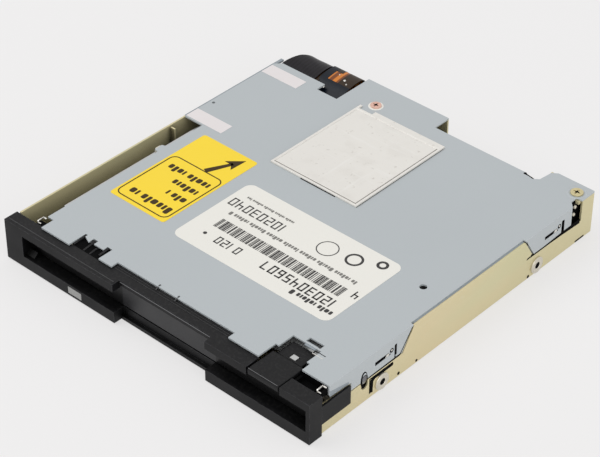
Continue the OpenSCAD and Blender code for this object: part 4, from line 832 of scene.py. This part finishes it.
@dataclass
class Labels:
    """The white and the yellow label with their plain print, and two tapes."""

    level: float = 12.28
    ink: float = 0.03
    segments: tuple[str, ...] = ("abcdef", "bc", "abged", "abgcd", "fgbc", "afgcd", "afgedc", "abc",
                                 "abcdefg", "abfgcd")
    blocks: tuple[float, ...] = (0.52, 0.3, 0.46, 0.62, 0.36, 0.5, 0.24, 0.56, 0.42)
    bars: tuple[int, ...] = (1, 2, 1, 1, 3, 1, 2, 2, 1, 3, 1, 1, 2, 1, 3, 2,
                             1, 1, 2, 3, 1, 2, 1, 1, 3, 1, 2, 1, 2, 1, 1, 3)
    yellow: tuple[float, float, float, float] = (-38.0, -19.5, 24.0, 57.0)

    def build(self) -> None:
        """Dresses the labels and prints them."""
        dress_node("white_label", Finishes.white, Edge.SHEET)
        dress_node("yellow_label", Finishes.yellow, Edge.SHEET)
        dress_node("edge_tapes", Finishes.tape, Edge.SHEET)
        self.print_white()
        self.print_yellow()

    def mark(self, mesh: Mesh, outline: Sequence[Point]) -> None:
        """Lays one inked shape on a label."""
        mesh.slab(outline, self.level - INK_SINK, self.level + self.ink)

    def digit(self, mesh: Mesh, value: int, x: float, y: float, wide: float, tall: float,
              bold: float) -> None:
        """Draws a digit of straight strokes that reads from the rear.

        Args:
            mesh: Where the strokes go.
            value: The digit, 0 to 9.
            x: The digit's right side on the drive, where its own left side is.
            y: The side of the digit's foot towards the rear.
            wide: Its width.
            tall: Its height.
            bold: The width of a stroke.
        """
        w, t, b = wide, tall, bold
        strokes = {"a": (0, w, t - b, t), "g": (0, w, (t - b) / 2, (t + b) / 2), "d": (0, w, 0, b),
                   "f": (0, b, t / 2, t), "b": (w - b, w, t / 2, t), "e": (0, b, 0, t / 2),
                   "c": (w - b, w, 0, t / 2)}
        for name in self.segments[value]:
            u0, u1, v0, v1 = strokes[name]
            self.mark(mesh, rect(x - u1, x - u0, y - v1, y - v0))

    def number(self, mesh: Mesh, digits: str, x: float, y: float, tall: float, bold: float) -> None:
        """Writes a row of digits from the right side of the drive to the left."""
        step = tall * 0.78
        for i, char in enumerate(digits):
            if char != " ":
                self.digit(mesh, int(char), x - i * step, y, tall * 0.55, tall, bold)

    def words(self, mesh: Mesh, left: float, right: float, front: float, tall: float, seed: int) -> None:
        """Lays a row of small blocks of uneven width and height in place of a line of print.

        Args:
            mesh: Where the blocks go.
            left: The row's left end.
            right: The row's right end.
            front: The side of the row towards the bezel.
            tall: The height of the tallest blocks.
            seed: Where the row starts in the table of widths.
        """
        x, k = right, seed
        while x - (w := self.blocks[k % len(self.blocks)] * tall) >= left:
            high = tall * (1.0 if k % 4 == 0 else 0.72)
            rear = front + tall
            self.mark(mesh, rounded(x - w, x, rear - high, rear, min(w, high) * 0.3, 2))
            x -= w + tall * (0.5 if k % 6 == 5 else 0.16)
            k += 1

    def print_white(self) -> None:
        """Prints one row of bars, rows of digits, rows of blocks and plain rings."""
        ink = Mesh("white_label_print")
        x, i, count = 29.4, 0, len(self.bars)
        while x - (w := self.bars[i % count] * 0.17) >= -10.3:
            self.mark(ink, rect(x - w, x, 31.2, 34.8))
            x -= w + self.bars[(i * 7 + 3) % count] * 0.14
            i += 1
        self.number(ink, "1203045607", 31.6, 29.9, 3.0, 0.42)
        self.number(ink, "0120", 1.8, 29.3, 2.6, 0.34)
        self.number(ink, "10203040", 4.3, 42.9, 3.0, 0.36)
        self.number(ink, "4", 33.0, 35.6, 2.6, 0.36)
        self.words(ink, 19.8, 32.6, 24.6, 1.7, 2)
        for cx, cy, r, line in ((16.0, 42.9, 2.8, 0.26), (23.4, 43.9, 2.3, 0.6), (29.6, 46.8, 1.5, 0.7)):
            self.band(ink, oval((cx, cy), r, r), oval((cx, cy), r - line, r - line))
        self.mark(ink, rounded(-9.9, -8.9, 27.4, 28.4, 0.48, 6))
        ink.finish(Finishes.ink)
        fine = Mesh("white_label_rules")
        self.words(fine, -10.8, 29.4, 36.9, 1.35, 4)
        self.words(fine, -12.0, 3.4, 44.4, 0.9, 1)
        fine.finish(Finishes.faint_ink)

    def band(self, mesh: Mesh, outer: Sequence[Point], inner: Sequence[Point]) -> None:
        """Lays a closed line between two outlines of equal length."""
        low, high = self.level - INK_SINK, self.level + self.ink
        mesh.hoop([(x, y, z) for x, y in line]
                  for line, z in ((outer, low), (outer, high), (inner, high), (inner, low)))

    def print_yellow(self) -> None:
        """Prints a rounded frame line, rows of blocks inside it and a thick arrow."""
        left, right, front, _ = self.yellow
        ink = Mesh("yellow_label_print")
        corner, line = 1.9, 0.32
        left, right, front, rear = left + 0.65, right - 0.65, front + 1.1, front + 21.7
        self.band(ink, rounded(left, right, front, rear, corner),
                  rounded(left + line, right - line, front + line, rear - line, corner - line))
        for start, end, place, tall, seed in ((-36.3, -21.4, 26.7, 2.7, 0), (-29.4, -21.6, 32.0, 2.4, 3),
                                              (-30.8, -21.8, 36.2, 2.4, 6), (-35.4, -21.6, 40.2, 2.4, 1)):
            self.words(ink, start, end, place, tall, seed)
        tail, tip = Vector((-27.0, 45.8)), Vector((-22.3, 55.6))
        way = (tip - tail).normalized()
        across = Vector((-way.y, way.x))
        neck = tip - way * 3.4
        shaft = [tail + across * 0.85, tail - across * 0.85, neck - across * 0.5, neck + across * 0.5]
        self.mark(ink, [tuple(p) for p in shaft])
        head = [tip, tip - way * 4.9 + across * 2.0, tip - way * 4.0, tip - way * 4.9 - across * 2.0]
        self.mark(ink, [tuple(p) for p in head])
        ink.finish(Finishes.warm_ink)


@dataclass
class Front:
    """The bezel with its flap, button, window, catches and corner hooks."""

    top: float = 11.6

    def build(self) -> None:
        """Dresses the nodes at the front and adds the fine pieces."""
        dress_node("front_bezel", Finishes.bezel, Edge.MOULDED)
        dress_node("dust_flap", Finishes.flap, Edge.FINE)
        dress_node("eject_button", Finishes.bezel, Edge.MOULDED)
        dress_node("indicator_lens", Finishes.lens, Edge.SHEET)
        dress_node("indicator_led", Finishes.lamp, Edge.SHEET)
        dress_node("slide_plate", Finishes.zinc)
        self.hooks()
        self.hook_and_button_shade()
        self.catches()
        self.ridges()

    def hooks(self) -> None:
        """Replaces the plain corner hooks with bent and pierced ones."""
        hooks = Mesh("corner_hooks")
        for left in (47.0, -42.3):
            hooks.side([(4.45, 11.55), (4.8, 11.55), (4.8, 11.9), (5.2, 12.0), (6.6, 12.0), (6.6, 12.2),
                        (4.7, 12.2), (4.45, 12.0)], left, left + 0.35)
            hooks.side(rect(6.2, 6.6, 11.95, 12.2), left + 0.35, left + 1.2)
            hooks.side(rect(4.45, 4.75, 11.55, 11.8), left + 0.35, left + 1.2)
        piece = hooks.finish(Finishes.bright, edge=Edge.SHEET)
        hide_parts("bezel_hooks")

    def hook_and_button_shade(self) -> None:
        """Lays painted shade as dark sheets in the recesses beside the button and under the left hook."""
        hook_and_button_shade = Mesh("corner_shade_sheets")
        hook_and_button_shade.slab(rect(40.35, 47.85, 4.2, 9.4), 9.75, 9.95)
        hook_and_button_shade.side(rect(7.1, 7.3, 9.95, 11.65), 40.3, 47.85)
        hook_and_button_shade.side(rect(4.2, 7.3, 9.95, 11.6), 47.75, 47.88)
        hook_and_button_shade.slab(rect(40.35, 41.0, 4.2, 7.0), 9.95, 10.9)
        hook_and_button_shade.slab(rect(-42.9, -37.6, 4.2, 6.2), 10.75, 10.95)
        hook_and_button_shade.finish(Finishes.shadow, slot="bezel_plastic")

    def catches(self) -> None:
        """Adds the prongs of the catches in the cover's left notch."""
        prongs = Mesh("catch_prongs")
        for x, wide, front, rear, high in ((-29.75, 0.55, 4.4, 8.55, 12.2), (-26.9, 1.1, 7.2, 8.35, 12.2),
                                           (-26.5, 0.5, 4.4, 7.3, 11.95), (-24.4, 0.5, 4.4, 6.9, 11.95),
                                           (-22.2, 0.6, 5.4, 8.6, 12.2)):
            prongs.side([(front, 11.5), (rear, 11.5), (rear, high), (rear - 0.4, high), (front, high - 0.3)],
                        x, x + wide)
        prongs.finish(Finishes.bezel, edge=Edge.SHEET)
        # Painted shade at the bottom of the cover's left notch.
        recess_shade = Mesh("catch_shade")
        recess_shade.slab(rect(-29.9, -21.2, 4.3, 8.6), 11.58, 11.64)
        recess_shade.finish(Finishes.shadow, slot="bezel_plastic")
        leaves = Mesh("notch_leaves")
        leaves.slab([(-29.2, 8.75), (-29.2, 7.9), (-27.1, 7.0), (-27.1, 8.75)], 11.75, 12.2)
        leaves.slab([(-25.6, 8.75), (-25.6, 7.3), (-22.4, 7.3), (-22.4, 8.75)], 11.75, 12.2)
        leaves.finish(Finishes.cover, edge=Edge.SHEET)

    def ridges(self) -> None:
        """Adds the mould lines of the hood, its two hooks and painted highlights along the scoop's edge and a
        stretch of the top's front edge.
        """
        lines = Mesh("mould_lines")
        high = self.top + 0.1
        low = self.top - 0.05
        for y in (4.7, 5.4, 6.0):
            lines.side([(y, low), (y + 0.16, low), (y + 0.12, high), (y + 0.04, high)], -15.8, 20.4)
        for x in (-3.3, 2.8):
            lines.side([(5.6, low), (6.7, 12.15), (7.1, 12.3), (6.7, 12.32), (5.4, self.top + 0.2)],
                       x, x + 0.3)
        lines.side([(0.9, low), (1.05, high), (1.12, high), (1.25, low)], -48.6, -12.4)
        lines.finish(Finishes.flap)
        # Painted highlights: lighter lines along edges that catch the light.
        edge = Mesh("edge_highlights")
        edge.side(rect(2.2, 2.34, 11.22, 11.34), -11.6, 17.3)
        edge.slab(rect(30.95, 39.6, 0.12, 0.2), self.top - 0.04, self.top + 0.012)
        edge.finish(Finishes.sheen)


@dataclass
class Nicks:
    """The dot, slits and screw crosses of the cover in painted shade, and what shows in its small openings.
    """

    top: float = 12.2

    def build(self) -> None:
        """Lays the nicks and crosses in painted shade, the rims and the pads on the cover."""
        # Painted shade in the cover's hole, slits, relief cuts and screw crosses.
        nicks = Mesh("cover_nick_shade")
        low, high = self.top - 0.2, self.top + 0.015
        nicks.turned((31.5, 98.35, low), "z", disc(0.42, high - low), 24)
        nicks.slab([(31.5, 98.2), (34.3, 97.7), (34.5, 98.0), (31.7, 98.5)], low, high)
        nicks.slab(rect(38.3, 38.5, 12.9, 13.9), low, high)
        nicks.slab(rect(38.3, 41.4, 13.7, 13.9), low, high)
        for x, y, r in ((45.7, 100.3, 0.5), (-14.8, 96.0, 0.45)):
            for turn in (0.3, 0.3 + math.pi / 2):
                c, q = math.cos(turn), math.sin(turn)
                nicks.slab([(x + a * c - b * q, y + a * q + b * c)
                            for a, b in ((r, 0.14), (-r, 0.14), (-r, -0.14), (r, -0.14))],
                           self.top + 0.3, self.top + 0.43)
        nicks.finish(Finishes.shadow)
        rims = Mesh("nick_rims")
        rims.turned((-32.1, 95.0, 11.0), "z", [(AXIS_R, 0.0), (0.5, 0.0), (0.3, 0.25), (AXIS_R, 0.3)], 20)
        rims.slab(rect(38.3, 41.4, 12.7, 12.88), low, high + 0.02)
        # Pads in the darkened cover paint: painted shade in the slot below the cover's top.
        pads = Mesh("bridge_pads")
        pads.slab(rect(34.95, 38.0, 13.9, 15.25), self.top - 0.4, self.top - 0.1)
        pads.finish(Finishes.hem, edge=Edge.SHEET)
        rims.finish(Finishes.bright)


@dataclass
class SideFrame:
    """The chromated frame with its tapped nuts, latches and hems, and the holder's pins."""

    wall: float = 48.4
    nut_face: float = 49.0
    nut_z: float = 2.4
    nut_y: tuple[float, float] = (24.7, 81.6)
    bore: float = 0.8
    latch_y: tuple[float, float] = (22.4, 84.4)

    def build(self) -> None:
        """Dresses the nodes of the frame and adds its fine pieces."""
        dress_node("chassis_frame", Finishes.frame, Edge.SHEET)
        dress_node("holder_pins", Finishes.core)
        self.nuts()
        self.latches()
        self.corner()
        self.hems()
        self.marks()

    def nuts(self) -> None:
        """Replaces the side nuts with chamfered ones that show their thread."""
        nuts = Mesh("tapped_nuts")
        wall, face, bore = self.wall, self.nut_face, self.bore
        thread = []
        for k in range(9):
            h = face - 0.12 - k * 0.3
            thread += [(bore + 0.16, h), (bore, h - 0.15)]
        outline = [(bore + 0.5, face), (1.72, face), (2.05, face - 0.12), (2.22, face - 0.28),
                   (2.22, wall + 0.02), (1.75, wall - 0.02), (1.75, wall - 2.3)]
        outline += thread[::-1] + [(bore + 0.26, face - 0.06)]
        for side in (1, -1):
            for y in self.nut_y:
                nuts.turned((0.0, y, self.nut_z), "x", [(r, side * h) for r, h in outline], 48)
        piece = nuts.finish(Finishes.nickel, smooth=True)
        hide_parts("side_nuts")
        # Painted shade: dark discs in the nuts' bores.
        bore_shades = Mesh("nut_bore_shade")
        for side in (1, -1):
            for y in self.nut_y:
                bore_shades.turned((side * (wall + 0.1), y, self.nut_z), "x",
                             [(AXIS_R, -0.2), (1.02, -0.2), (1.02, 0.32), (AXIS_R, 0.12)], 24)
        bore_shades.finish(Finishes.shadow)

    def latches(self) -> None:
        """Lays painted shade in the latch slots and round the guide hole, and adds the slots' bright tongues.
        """
        recess_shade = Mesh("latch_shade")
        inner, outer = self.wall - 0.4, self.wall - 0.1
        for y in self.latch_y:
            recess_shade.side(rect(y, y + 4.8, 8.2, 9.1), inner, outer)
            recess_shade.turned((outer, y + 5.6, 9.2), "x", disc(0.62, 0.12), 24)
            recess_shade.side([(y + 6.7, 7.2), (y + 7.35, 7.0), (y + 7.35, 10.2), (y + 6.7, 10.2)], outer,
                      self.wall + 0.02)
            recess_shade.side([(y, 8.15), (y + 5.2, 8.25), (y + 5.2, 8.6), (y, 8.5)], outer, self.wall + 0.01)
        recess_shade.finish(Finishes.shadow)
        self.guide_rim_shade()
        tongues = Mesh("latch_tongues")
        for y in self.latch_y:
            tongues.side([(y + 3.4, 8.3), (y + 4.7, 8.3), (y + 4.7, 8.95), (y + 3.9, 8.95)], outer - 0.1,
                         self.wall + 0.02)
            tongues.turned((outer, y + 5.6, 9.3), "x", disc(0.28, 0.14), 24)
        tongues.finish(Finishes.bright, smooth=True)

    def corner(self) -> None:
        """Adds the painted shade in the reliefs of the right side, the rear foot and the pale bits behind the
        corner.
        """
        gap = Mesh("relief_shade")
        low, high = self.wall - 0.12, self.wall + 0.015
        gap.side(rect(92.6, 101.2, 2.4, 11.5), 46.6, 47.0)
        gap.side([(77.4, 6.0), (84.0, 6.0), (91.0, 5.8), (98.6, 5.4), (98.6, 6.75), (91.6, 6.75), (84.0, 6.4),
                  (77.8, 6.45)], low, high)
        gap.side([(91.1, 6.3), (92.1, 6.3), (92.0, 10.1), (91.2, 10.1)], low, self.wall + 0.02)
        gap.side([(19.9, 5.9), (30.8, 5.9), (31.3, 6.3), (35.2, 11.6), (34.9, 11.6), (31.0, 6.45),
                  (20.4, 6.3)], low, high)
        gap.side([(20.95, 1.2), (21.75, 1.0), (21.9, 4.0), (22.5, 4.5), (28.5, 4.5), (28.8, 4.9), (28.5, 5.4),
                  (21.5, 5.4), (20.95, 4.9)], low, high)
        gap.turned((48.2, 79.4, 6.35), "x", disc(0.42, 0.22), 20)
        gap.finish(Finishes.shadow)
        foot = Mesh("rear_foot")
        foot.side([(97.6, 0.0), (100.8, 0.0), (101.2, 0.25), (101.0, 0.62), (97.4, 0.62), (97.2, 0.25)],
                  self.wall - 1.6, self.wall + 0.03)
        foot.finish(Finishes.shadow, edge=Edge.FINE)
        bits = Mesh("corner_bits")
        for y, z in ((97.9, 10.0), (97.6, 7.9)):
            bits.turned((47.0, y, z), "x", [(AXIS_R, 0.0), (0.5, 0.0), (0.42, 0.3), (AXIS_R, 0.36)], 20)
        bits.finish(Finishes.socket, smooth=True)

    def hems(self) -> None:
        """Lays the cover's turned edges along both sides, in the cover's paint darkened as painted shade."""
        hem = Mesh("cover_hem")
        hem.side(rect(36.2, 76.5, 10.6, 11.82), 47.42, 47.88)
        hem.side(rect(60.3, 96.6, 11.3, 11.86), -48.42, -47.5)
        hem.side([(7.3, 8.9), (13.6, 8.6), (13.6, 9.3), (7.3, 10.6)], 48.3, self.wall + 0.01)
        hem.finish(Finishes.hem, edge=Edge.SHEET)

    def guide_rim_shade(self) -> None:
        """Rings the oval guide hole's pressed rim with painted shade."""
        rim = Mesh("guide_rim_shade")
        outer, inner = oval((18.7, 6.5), 1.15, 2.3), oval((18.9, 6.6), 0.8, 1.75)
        low, high = self.wall - 0.02, self.wall + 0.02
        rim.hoop([(x, y, z) for y, z in line]
                 for line, x in ((outer, low), (outer, high), (inner, high), (inner, low)))
        rim.finish(Finishes.shadow)

    def marks(self) -> None:
        """Adds painted shade in the small nicks along the lower edge."""
        nicks = Mesh("edge_nick_shade")
        for y, z, r in ((30.7, 0.75, 0.42), (37.0, 0.6, 0.36), (78.6, 0.5, 0.42)):
            nicks.turned((self.wall - 0.02, y, z), "x", disc(r, 0.06), 20)
        nicks.finish(Finishes.shadow)


@dataclass
class Flexes:
    """The black and the amber film that arch over the rear edge into their socket."""

    ribbon_rail: tuple[Point, ...] = (
        (92.9, 10.9), (94.2, 11.25), (95.6, 11.75), (97.2, 12.15), (99.0, 12.4), (100.8, 12.45),
        (102.2, 12.2), (103.2, 11.55), (103.8, 10.5), (104.1, 9.1), (104.1, 7.4), (103.8, 5.8), (103.1, 4.4),
        (102.2, 3.4), (101.3, 3.0))
    ribbon_slant: tuple[float, ...] = (
        0.0, 0.0, 0.1, 0.5, 1.1, 1.9, 3.2, 4.2, 4.8, 5.0, 5.0, 5.0, 5.0, 5.0, 5.0)
    film_rail: tuple[Point, ...] = (
        (91.0, 8.6), (92.4, 9.2), (93.8, 10.1), (95.4, 11.1), (97.2, 11.85), (99.2, 12.25), (101.2, 12.4),
        (102.7, 12.25), (103.6, 11.5), (104.0, 10.2), (104.05, 8.4), (103.7, 6.4), (102.9, 4.6), (102.0, 3.5),
        (101.3, 3.0))
    ribbon: Point = (-46.9, -35.4)
    film: Point = (-34.9, -25.2)
    thick: float = 0.16
    coated: float = 0.22

    @staticmethod
    def smoothed(rail: Sequence[Point], steps: int = 5) -> list[Point]:
        """Rounds a rail with a curve through its places.

        Args:
            rail: Places, in any two measures.
            steps: Steps between two places.

        Returns:
            The places of the rounded rail.
        """
        out = []
        last = len(rail) - 1
        for i in range(last):
            p0, p1, p2, p3 = (rail[max(i - 1, 0)], rail[i], rail[i + 1], rail[min(i + 2, last)])
            for k in range(steps):
                t = k / steps
                out.append(tuple(0.5 * (2 * b + (c - a) * t + (2 * a - 5 * b + 4 * c - d) * t * t
                                        + (3 * b - a - 3 * c + d) * t ** 3)
                                 for a, b, c, d in zip(p0, p1, p2, p3)))
        return out + [rail[-1]]

    def build(self) -> None:
        """Replaces the two plain films with modelled ones and dresses the socket."""
        rail = self.smoothed(self.ribbon_rail)
        slant = [p[0] for p in self.smoothed([(v, 0.0) for v in self.ribbon_slant])]
        ribbon = Mesh("ribbon_film")
        ribbon.strip(rail, self.ribbon[0], self.ribbon[1], self.thick, slant, sway=0.1)
        piece = ribbon.finish(Finishes.ribbon, smooth=True)
        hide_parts("flex_ribbon")
        under = Mesh("ribbon_underlay")
        under.strip([(y - 0.3, z - 0.42) for y, z in rail[4:48]], self.ribbon[0] + 1.2, self.ribbon[1] + 1.0,
                    0.12, slant[4:48])
        under.finish(Finishes.brown, slot="ribbon_film", smooth=True)
        rail = self.smoothed(self.film_rail)
        left, right = self.film
        film = Mesh("amber_film")
        film.strip(rail, left, right, self.thick)
        piece = film.finish(Finishes.amber, smooth=True)
        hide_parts("polyimide_flex")
        self.masks(rail, left, right)
        dress_node("interface_connector", Finishes.socket, Edge.SHEET)

    def masks(self, rail: Sequence[Point], left: float, right: float) -> None:
        """Lays the navy and brown lacquer and the solder dots on the amber film.

        Args:
            rail: The film's rail.
            left: The film's left edge.
            right: The film's right edge.
        """
        navy = Mesh("navy_lacquer")
        navy.strip(rail[:22], left - 0.05, right + 0.05, self.coated)
        navy.strip(rail[21:38], left - 0.05, left + 2.2, self.coated)
        navy.finish(Finishes.navy, smooth=True)
        brown = Mesh("brown_lacquer")
        brown.strip(rail[21:44], right - 4.1, right + 0.05, self.coated)
        brown.strip(rail[30:44], left + 2.1, left + 4.2, self.coated)
        brown.finish(Finishes.brown, smooth=True)
        dots = Mesh("solder_dots")
        for x, y, z, r in ((-30.4, 92.6, 9.46, 0.5), (-28.4, 99.3, 12.36, 0.38), (-27.0, 98.3, 12.2, 0.26),
                           (-31.1, 100.4, 12.44, 0.22)):
            dots.turned((x, y, z), "z", [(AXIS_R, -0.06), (r, -0.06), (r * 0.8, 0.08), (AXIS_R, 0.14)], 20)
        dots.finish(Finishes.bright, smooth=True)


@dataclass
class Inside:
    """Everything under the cover, which shows through the slot and the openings."""

    dress: tuple[tuple[Finish, tuple[str, ...]], ...] = (
        (Finishes.green_board, ("main_board",)),
        (Finishes.brown_board, ("motor_board",)),
        (Finishes.chip, ("board_chips", "index_sensor", "write_protect_plunger", "density_plunger",
                         "disk_sense_plunger")),
        (Finishes.zinc, ("board_screws", "stepper_motor", "screw_bracket", "disk_holder", "rotor_yoke",
                         "head_arm", "trigger_lever")),
        (Finishes.core, ("stator_core",)),
        (Finishes.coil, ("stator_coils",)),
        (Finishes.brass, ("spindle_bearing", "drive_pin")),
        (Finishes.bright, ("guide_rod", "lever_pin", "spindle_hub", "feed_pin", "arm_pin", "lead_screw")),
        (Finishes.carriage, ("rod_clamps", "head_carriage")),
        (Finishes.socket, ("sense_switches",)),
        (Finishes.spring, ("eject_springs", "arm_spring")),
        (Finishes.magnet, ("rotor_magnet",)),
        (Finishes.ceramic, ("lower_head", "upper_head")),
    )

    def build(self) -> None:
        """Dresses every inner node."""
        for finish, names in self.dress:
            for name in names:
                dress_node(name, finish)


@dataclass
class Studio:
    """The pale floor, the soft lamps, the pale surroundings and the camera."""

    backdrop: Tone = (241, 240, 240)
    world_strength: float = 0.64
    key_power: float = 8.8
    fill_power: float = 6.6
    glow: float = 0.7
    lens: float = 124.86
    place: Spot = (0.269456, -0.298500, 0.309883)
    right: Spot = (0.73909, 0.67361, 0.00340)
    up: Spot = (-0.40916, 0.44491, 0.79666)
    back: Spot = (0.53512, -0.59018, 0.60443)

    def build(self) -> None:
        """Sets the stage, the lamps and the camera."""
        self.floor()
        self.world()
        self.lamp("key_lamp", (-0.9, -0.5, 1.3), 1.4, self.key_power)
        self.lamp("fill_lamp", (1.3, -0.6, 0.7), 1.2, self.fill_power)
        self.camera()

    def seen(self, graph: Graph) -> bpy.types.NodeSocket:
        """Gives 1 to camera, glossy and transmission rays, and 0 to the rest."""
        path = graph.add("LightPath")
        sharp = graph.math("MAXIMUM", path.outputs["Is Glossy Ray"], path.outputs["Is Transmission Ray"])
        return graph.math("MAXIMUM", path.outputs["Is Camera Ray"], sharp)

    def floor(self) -> None:
        """Lays a broad pale floor under the drive."""
        data = bpy.data.meshes.new("studio_floor")
        half, level = 3.0, -0.0002
        data.from_pydata([(x, y, level) for x, y in rect(-half, half, -half, half)], [], [(0, 1, 2, 3)])
        floor = bpy.data.objects.new("studio_floor", data)
        bpy.context.scene.collection.objects.link(floor)
        paper = Finish("studio floor", self.backdrop, rough=0.9, specular=0.1, drift=(2.0, 0.004),
                       grain=(2500.0, 0.1)).material()
        graph = Graph(paper.node_tree)
        glow = graph.add("Emission", {"Color": linear(self.backdrop)})
        mixed = graph.add("MixShader", {0: graph.product(self.seen(graph), self.glow),
                                        1: paper.node_tree.nodes["Principled BSDF"].outputs[0],
                                        2: glow.outputs[0]})
        graph.feed(paper.node_tree.nodes["Material Output"].inputs[0], mixed.outputs[0])
        data.materials.append(paper)

    def world(self) -> None:
        """Surrounds the drive with even light and a pale backdrop."""
        world = bpy.data.worlds.new("studio")
        world.use_nodes = True
        bpy.context.scene.world = world
        graph = Graph(world.node_tree)
        light = world.node_tree.nodes["Background"]
        light.inputs["Color"].default_value = (1.0, 1.0, 1.0, 1.0)
        light.inputs["Strength"].default_value = self.world_strength
        pale = graph.add("Background", {"Color": linear(self.backdrop)})
        mixed = graph.add("MixShader", {0: self.seen(graph), 1: light.outputs[0], 2: pale.outputs[0]})
        graph.feed(world.node_tree.nodes["World Output"].inputs[0], mixed.outputs[0])

    def lamp(self, name: str, place: Spot, size: float, power: float) -> None:
        """Hangs a square lamp that faces the drive.

        Args:
            name: The lamp's name.
            place: Where it hangs, in metres.
            size: Length of its side, in metres.
            power: Its power in watts.
        """
        data = bpy.data.lights.new(name, "AREA")
        data.size = size
        data.energy = power
        lamp = bpy.data.objects.new(name, data)
        lamp.location = place
        lamp.rotation_mode = "QUATERNION"
        lamp.rotation_quaternion = (-Vector(place)).to_track_quat("-Z", "Y")
        bpy.context.scene.collection.objects.link(lamp)

    def camera(self) -> None:
        """Puts the camera where the photograph was taken from."""
        data = bpy.data.cameras.new("camera")
        data.lens = self.lens
        data.sensor_width = 36.0
        data.clip_start, data.clip_end = 0.01, 20.0
        camera = bpy.data.objects.new("camera", data)
        turn = Matrix((self.right, self.up, self.back)).transposed().to_4x4()
        camera.matrix_world = Matrix.Translation(self.place) @ turn
        bpy.context.scene.collection.objects.link(camera)
        bpy.context.scene.camera = camera


def main() -> None:
    """Builds and dresses the drive, then the studio."""
    logging.basicConfig(level=logging.INFO, format="%(name)s %(message)s")
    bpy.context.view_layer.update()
    bpy.context.scene.view_settings.view_transform = "Standard"
    make_effects()
    for part in (Cover(), Labels(), Front(), Nicks(), SideFrame(), Flexes(), Inside()):
        LOG.info("building %s", type(part).__name__)
        part.build()
    Studio().build()


if __name__ == "__main__":
    main()
